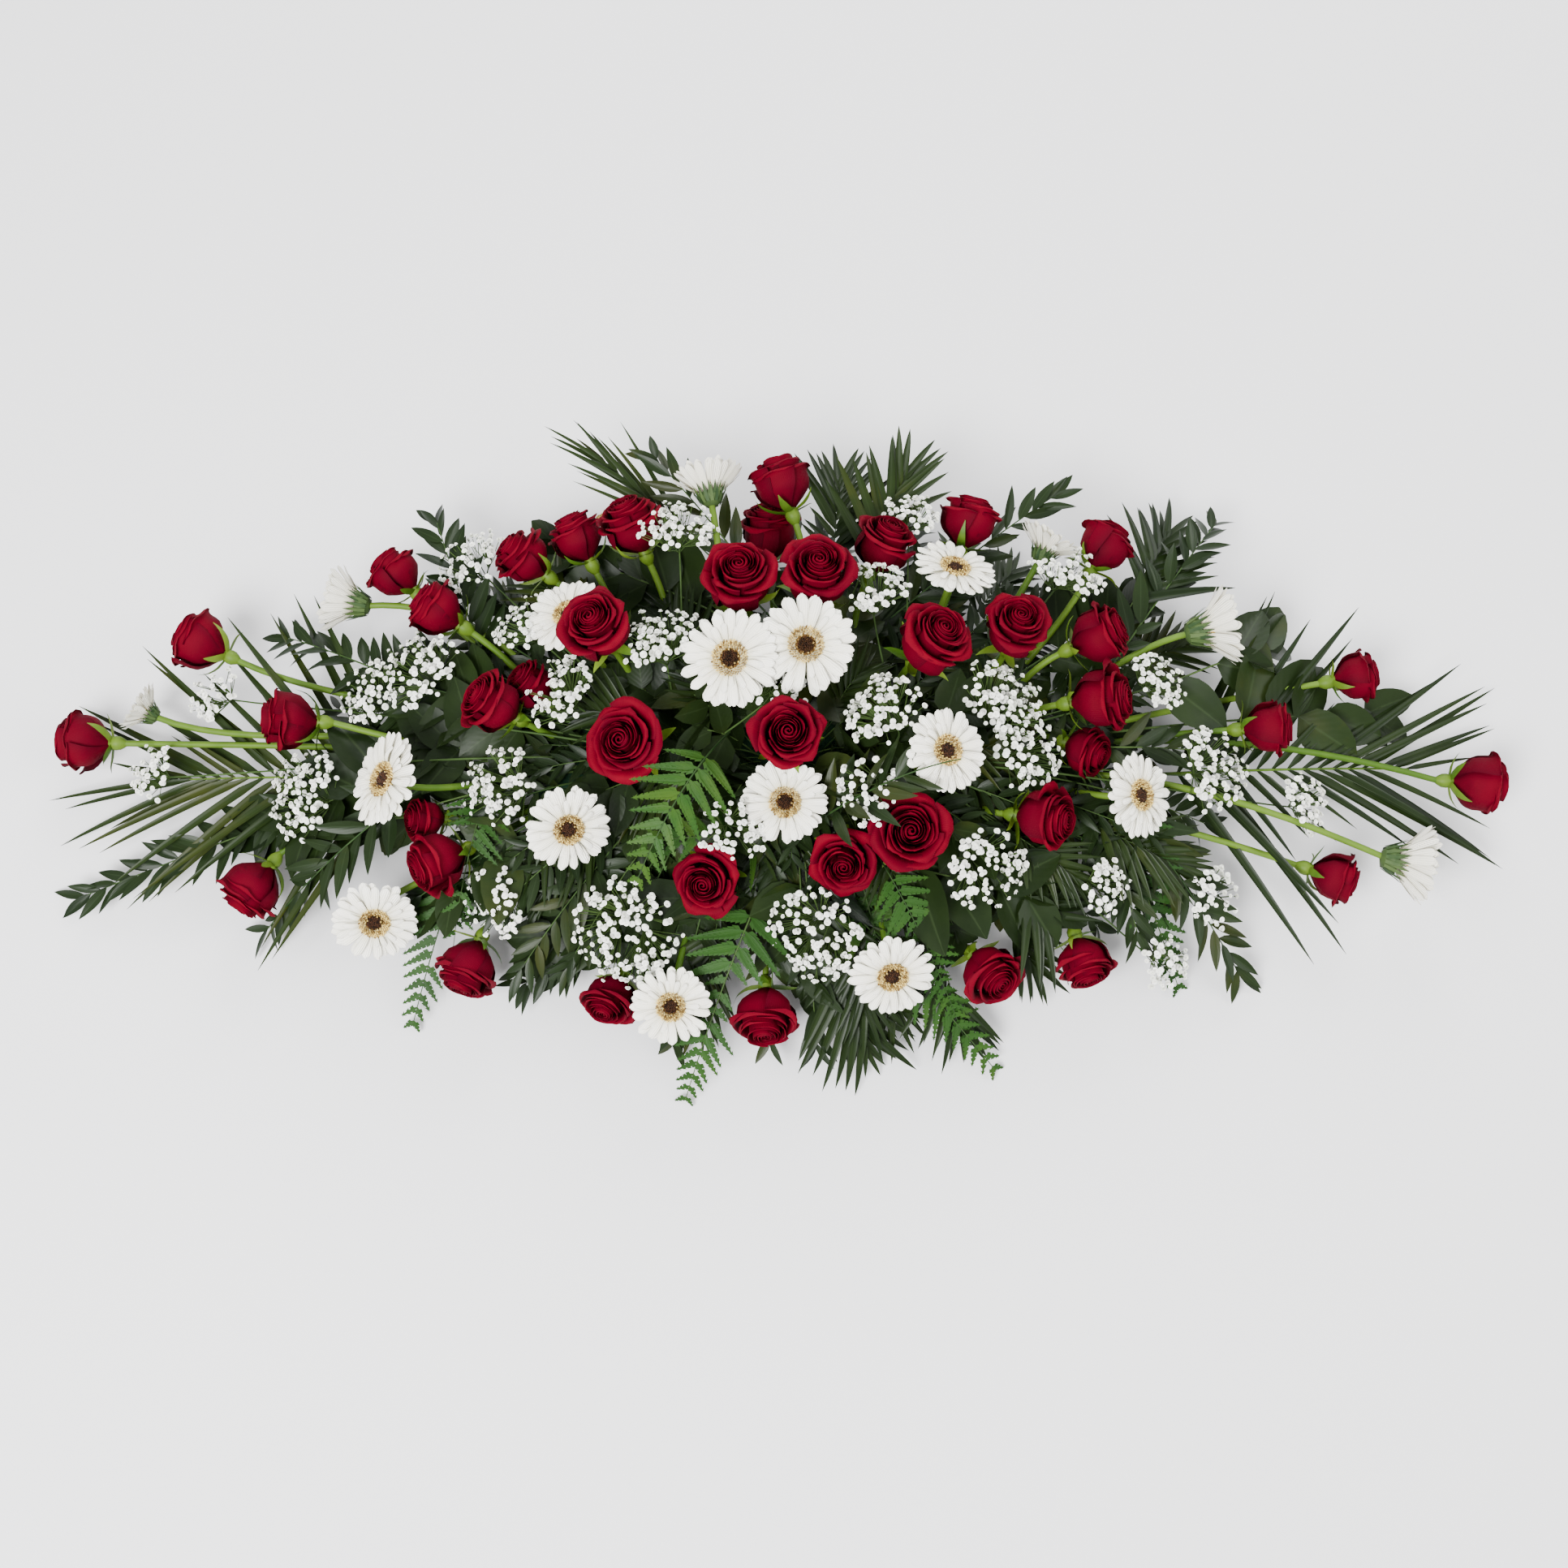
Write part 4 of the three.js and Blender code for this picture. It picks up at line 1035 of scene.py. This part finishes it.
# The palms and the boughs: where each stands in the foam, where a bough forks, and its twigs as their
# kind, the tip x, y, z and the height of the arch
PALMS = {
    "palm_left": ((-205, -18, 41), [("palm", -590, -8, 26, 54)]),
    "palm_right": ((205, -18, 41), [("palm", 600, 2, 30, 56)]),
}
BOUGHS = {
    "greenery_left": ((-205, 18, 50), (-262, 22, 66), [
        ("ruscus", -340, 236, 80, 105), ("ruscus", -485, 130, 45, 90), ("salal", -490, -64, 46, 84),
        ("ruscus", -450, -190, 24, 80), ("ruscus", -685, -80, 14, 50), ("fern", -390, -222, 10, 70),
    ]),
    "greenery_right": ((205, 18, 50), (262, 22, 66), [
        ("ruscus", 460, 205, 50, 105), ("salal", 455, 112, 64, 94), ("salal", 565, 40, 40, 70),
        ("ruscus", 455, -165, 22, 80), ("ruscus", 350, -150, 60, 90), ("fern", 330, -218, 10, 80),
        ("small_palm", 370, 225, 60, 105),
    ]),
    "greenery_back": ((35, 32, 36), (35, 88, 60), [
        ("ruscus", -115, 290, 130, 120), ("small_palm", 110, 262, 120, 120), ("ruscus", 262, 238, 112, 118),
        ("salal", -212, 205, 70, 100), ("grass", -175, 285, 112, 110), ("small_palm", 50, 262, 100, 112),
    ]),
    "greenery_front": ((-5, -32, 40), (-5, -84, 66), [
        ("ruscus", -245, -205, 26, 70), ("fern", -95, -312, 8, 96), ("small_palm", 75, -270, 20, 80),
        ("fern", 212, -262, 8, 84), ("salal", 245, -143, 84, 96), ("salal", -215, -165, 50, 80),
        ("fern", -122, -118, 168, 150), ("ruscus", 150, -85, 226, 190),
    ]),
}


def arch_over(hub, tip, peak, count, dip=0, swing=0):
    hub, tip = np.array(hub, float), np.array(tip, float)
    tip = tip + aside_of(hub, tip) * swing
    middle = (hub + tip) / 2
    middle[2] = 2 * (peak + 0.6 * dip) - middle[2]
    return along_curve([hub, middle, tip], count)


def twigs_as_built(piece, node, hub, rows):
    """Twigs with the bends that the solid's twigs took."""
    solid = cad_points(node)
    for kind, x, y, z, peak in rows:
        bend = as_built(solid, lambda d, s: arch_over(hub, (x, y, z), peak, 60, d, s), 0, 3)
        twig(piece, kind, arch_over(hub, (x, y, z), peak, 40, *bend))


GREENERY = ["palm", "fern", "ruscus", "salal", "twig", "stem"]
BOUGH_RADIUS = 2.6

for node, (foot, rows) in PALMS.items():
    piece = Piece(node + "_frond", ["palm", "stem"])
    twigs_as_built(piece, node, foot, rows)
    piece.finish("palm", node)

for node, (foot, fork, rows) in BOUGHS.items():
    piece = Piece(node + "_twigs", GREENERY)
    piece.tube(np.array([foot, fork], float), BOUGH_RADIUS, 8, "twig")
    twigs_as_built(piece, node, fork, rows)
    piece.finish("leaf", node)


# The small greenery that fills the spray between its flowers: short leafy stems all over the foam,
# and longer ones that reach out between the blooms, lower than they do
FILL_KINDS = ("ruscus", "salal", "ruscus", "salal", "ruscus", "small_palm")
FILL_ROWS = 9
FILL_COLUMNS = 13

# Half the depth that the tips spread over, and their heights as shares of the dome's
FILL_DEPTH = 290
FILL_HEIGHTS = (0.4, 0.85)

# How far out along and across the foam a foot may stand, and its height
FILL_FOOT = (215, 48, 86)

# Twigs shorter than this in plan are made about this long, and end between these heights
SHORTEST_FILL = 60
SHORT_TIP_HEIGHTS = (115, 160)

# Twigs this long have leaves of full size
FULL_TWIG = 240

# Half the length, half the depth and the height of the dome over the filling
DOME = (700, 320, 195)


def dome(x, y):
    """Height of the filling at a place."""
    length, depth, height = DOME
    reach = (x / length) ** 2 + (y / depth) ** 2
    return height * max(0.0, 1 - reach) ** 0.9


def fill(name, side, width):
    piece = Piece(name, GREENERY)
    far, wide, low = FILL_FOOT
    for i in range(FILL_ROWS):
        for j in range(FILL_COLUMNS):
            share = (i + random.uniform(0.1, 0.9)) / FILL_ROWS
            column = j + 0.5 * (i % 2) + random.uniform(-0.4, 0.4)
            angle = column / FILL_COLUMNS * math.pi - math.pi / 2
            x = side * (30 + width * share) * math.cos(angle)
            y = FILL_DEPTH * (0.12 + 0.84 * share) * math.sin(angle)
            z = max(8, dome(x, y) * random.uniform(*FILL_HEIGHTS) * (1 - 0.3 * share))
            tip = np.array([x, y, z])
            foot = np.array([np.clip(0.5 * x, -far, far), np.clip(0.25 * y, -wide, wide), low])
            way = tip[:2] - foot[:2]
            if np.linalg.norm(way) < SHORTEST_FILL:
                tip[:2] = foot[:2] + way / (np.linalg.norm(way) + 1) * SHORTEST_FILL
                tip[2] = random.uniform(*SHORT_TIP_HEIGHTS)
            peak = 0.5 * max(foot[2], tip[2]) + 0.25 * (foot[2] + tip[2]) + 14
            kind = FILL_KINDS[random.integers(len(FILL_KINDS))]
            size = float(np.clip(np.linalg.norm(tip - foot) / FULL_TWIG, 0.6, 1.0))
            twig(piece, kind, arch_over(foot, tip, peak, 24), size, rows=6, columns=3)
    piece.finish("leaf")


fill("filling_left", -1, 420)
fill("filling_right", 1, 400)

# Fern fronds that lie over the filling, as their foot, tip, peak and size
FERNS = [
    ((-52, 4, 150), (-132, -136, 166), 205, 1.0),
    ((-262, 22, 66), (-318, -196, 18), 100, 0.7),
    ((60, -60, 88), (168, -262, 16), 110, 0.7),
]
fronds = Piece("fern_fronds", ["fern", "twig"])
for foot, tip, peak, size in FERNS:
    twig(fronds, "fern", arch_over(foot, tip, peak, 40), size)
fronds.finish("leaf")


# The two solids that stay as they are get their materials here

CAD_MATERIALS = {
    "foam": plain("wet_foam", (0.006, 0.022, 0.010), (0.02, 0.055, 0.024), 900, 0.95, bump=0.5),
    "tray": plain("tray_plastic", (0.012, 0.045, 0.018), (0.016, 0.055, 0.022), 12, 0.4, bump=0.05),
}
for node, material in CAD_MATERIALS.items():
    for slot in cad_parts[node].material_slots:
        slot.material = material


# Stage, light and camera, in metres

FLOOR_REACH = 9
FLOOR_COLOR = (0.68, 0.68, 0.69, 1)
LAMP_TARGET = (0, 0, 0.1)
SKY_STRENGTH = 1.2
CAMERA_PLACE = (-0.003, -0.5128, 1.8953)
CAMERA_TARGET = (-0.003, -0.021, 0.060)
CAMERA_LENS = 46.03

floor = bpy.data.objects.new("floor", bpy.data.meshes.new("floor"))
corners = [(FLOOR_REACH * x, FLOOR_REACH * y, 0) for x, y in ((-1, -1), (1, -1), (1, 1), (-1, 1))]
floor.data.from_pydata(corners, [], [(0, 1, 2, 3)])
bpy.context.scene.collection.objects.link(floor)
pale = bpy.data.materials.new("floor")
pale.use_nodes = True
look = pale.node_tree.nodes["Principled BSDF"].inputs
look["Base Color"].default_value = FLOOR_COLOR
look["Roughness"].default_value = 0.8
floor.data.materials.append(pale)


def turned_to(place, target):
    return (Vector(target) - Vector(place)).to_track_quat("-Z", "Y").to_euler()


def lamp(name, place, size, watts):
    light = bpy.data.lights.new(name, "AREA")
    light.shape = "DISK"
    light.size = size
    light.energy = watts
    made = bpy.data.objects.new(name, light)
    made.location = place
    made.rotation_euler = turned_to(place, LAMP_TARGET)
    bpy.context.scene.collection.objects.link(made)


lamp("key", (-1.2, -1.6, 2.9), 1.8, 330)
lamp("fill", (2.2, -0.4, 2.2), 2.2, 78)
lamp("back", (0.3, 2.6, 1.8), 1.8, 104)
world = bpy.data.worlds.new("studio")
world.use_nodes = True
sky = world.node_tree.nodes["Background"].inputs
sky["Color"].default_value = (1.0, 1.0, 1.0, 1)
sky["Strength"].default_value = SKY_STRENGTH
bpy.context.scene.world = world

camera = bpy.data.objects.new("camera", bpy.data.cameras.new("camera"))
camera.data.lens = CAMERA_LENS
camera.data.clip_start = 0.05
camera.location = CAMERA_PLACE
camera.rotation_euler = turned_to(CAMERA_PLACE, CAMERA_TARGET)
bpy.context.scene.collection.objects.link(camera)
bpy.context.scene.camera = camera
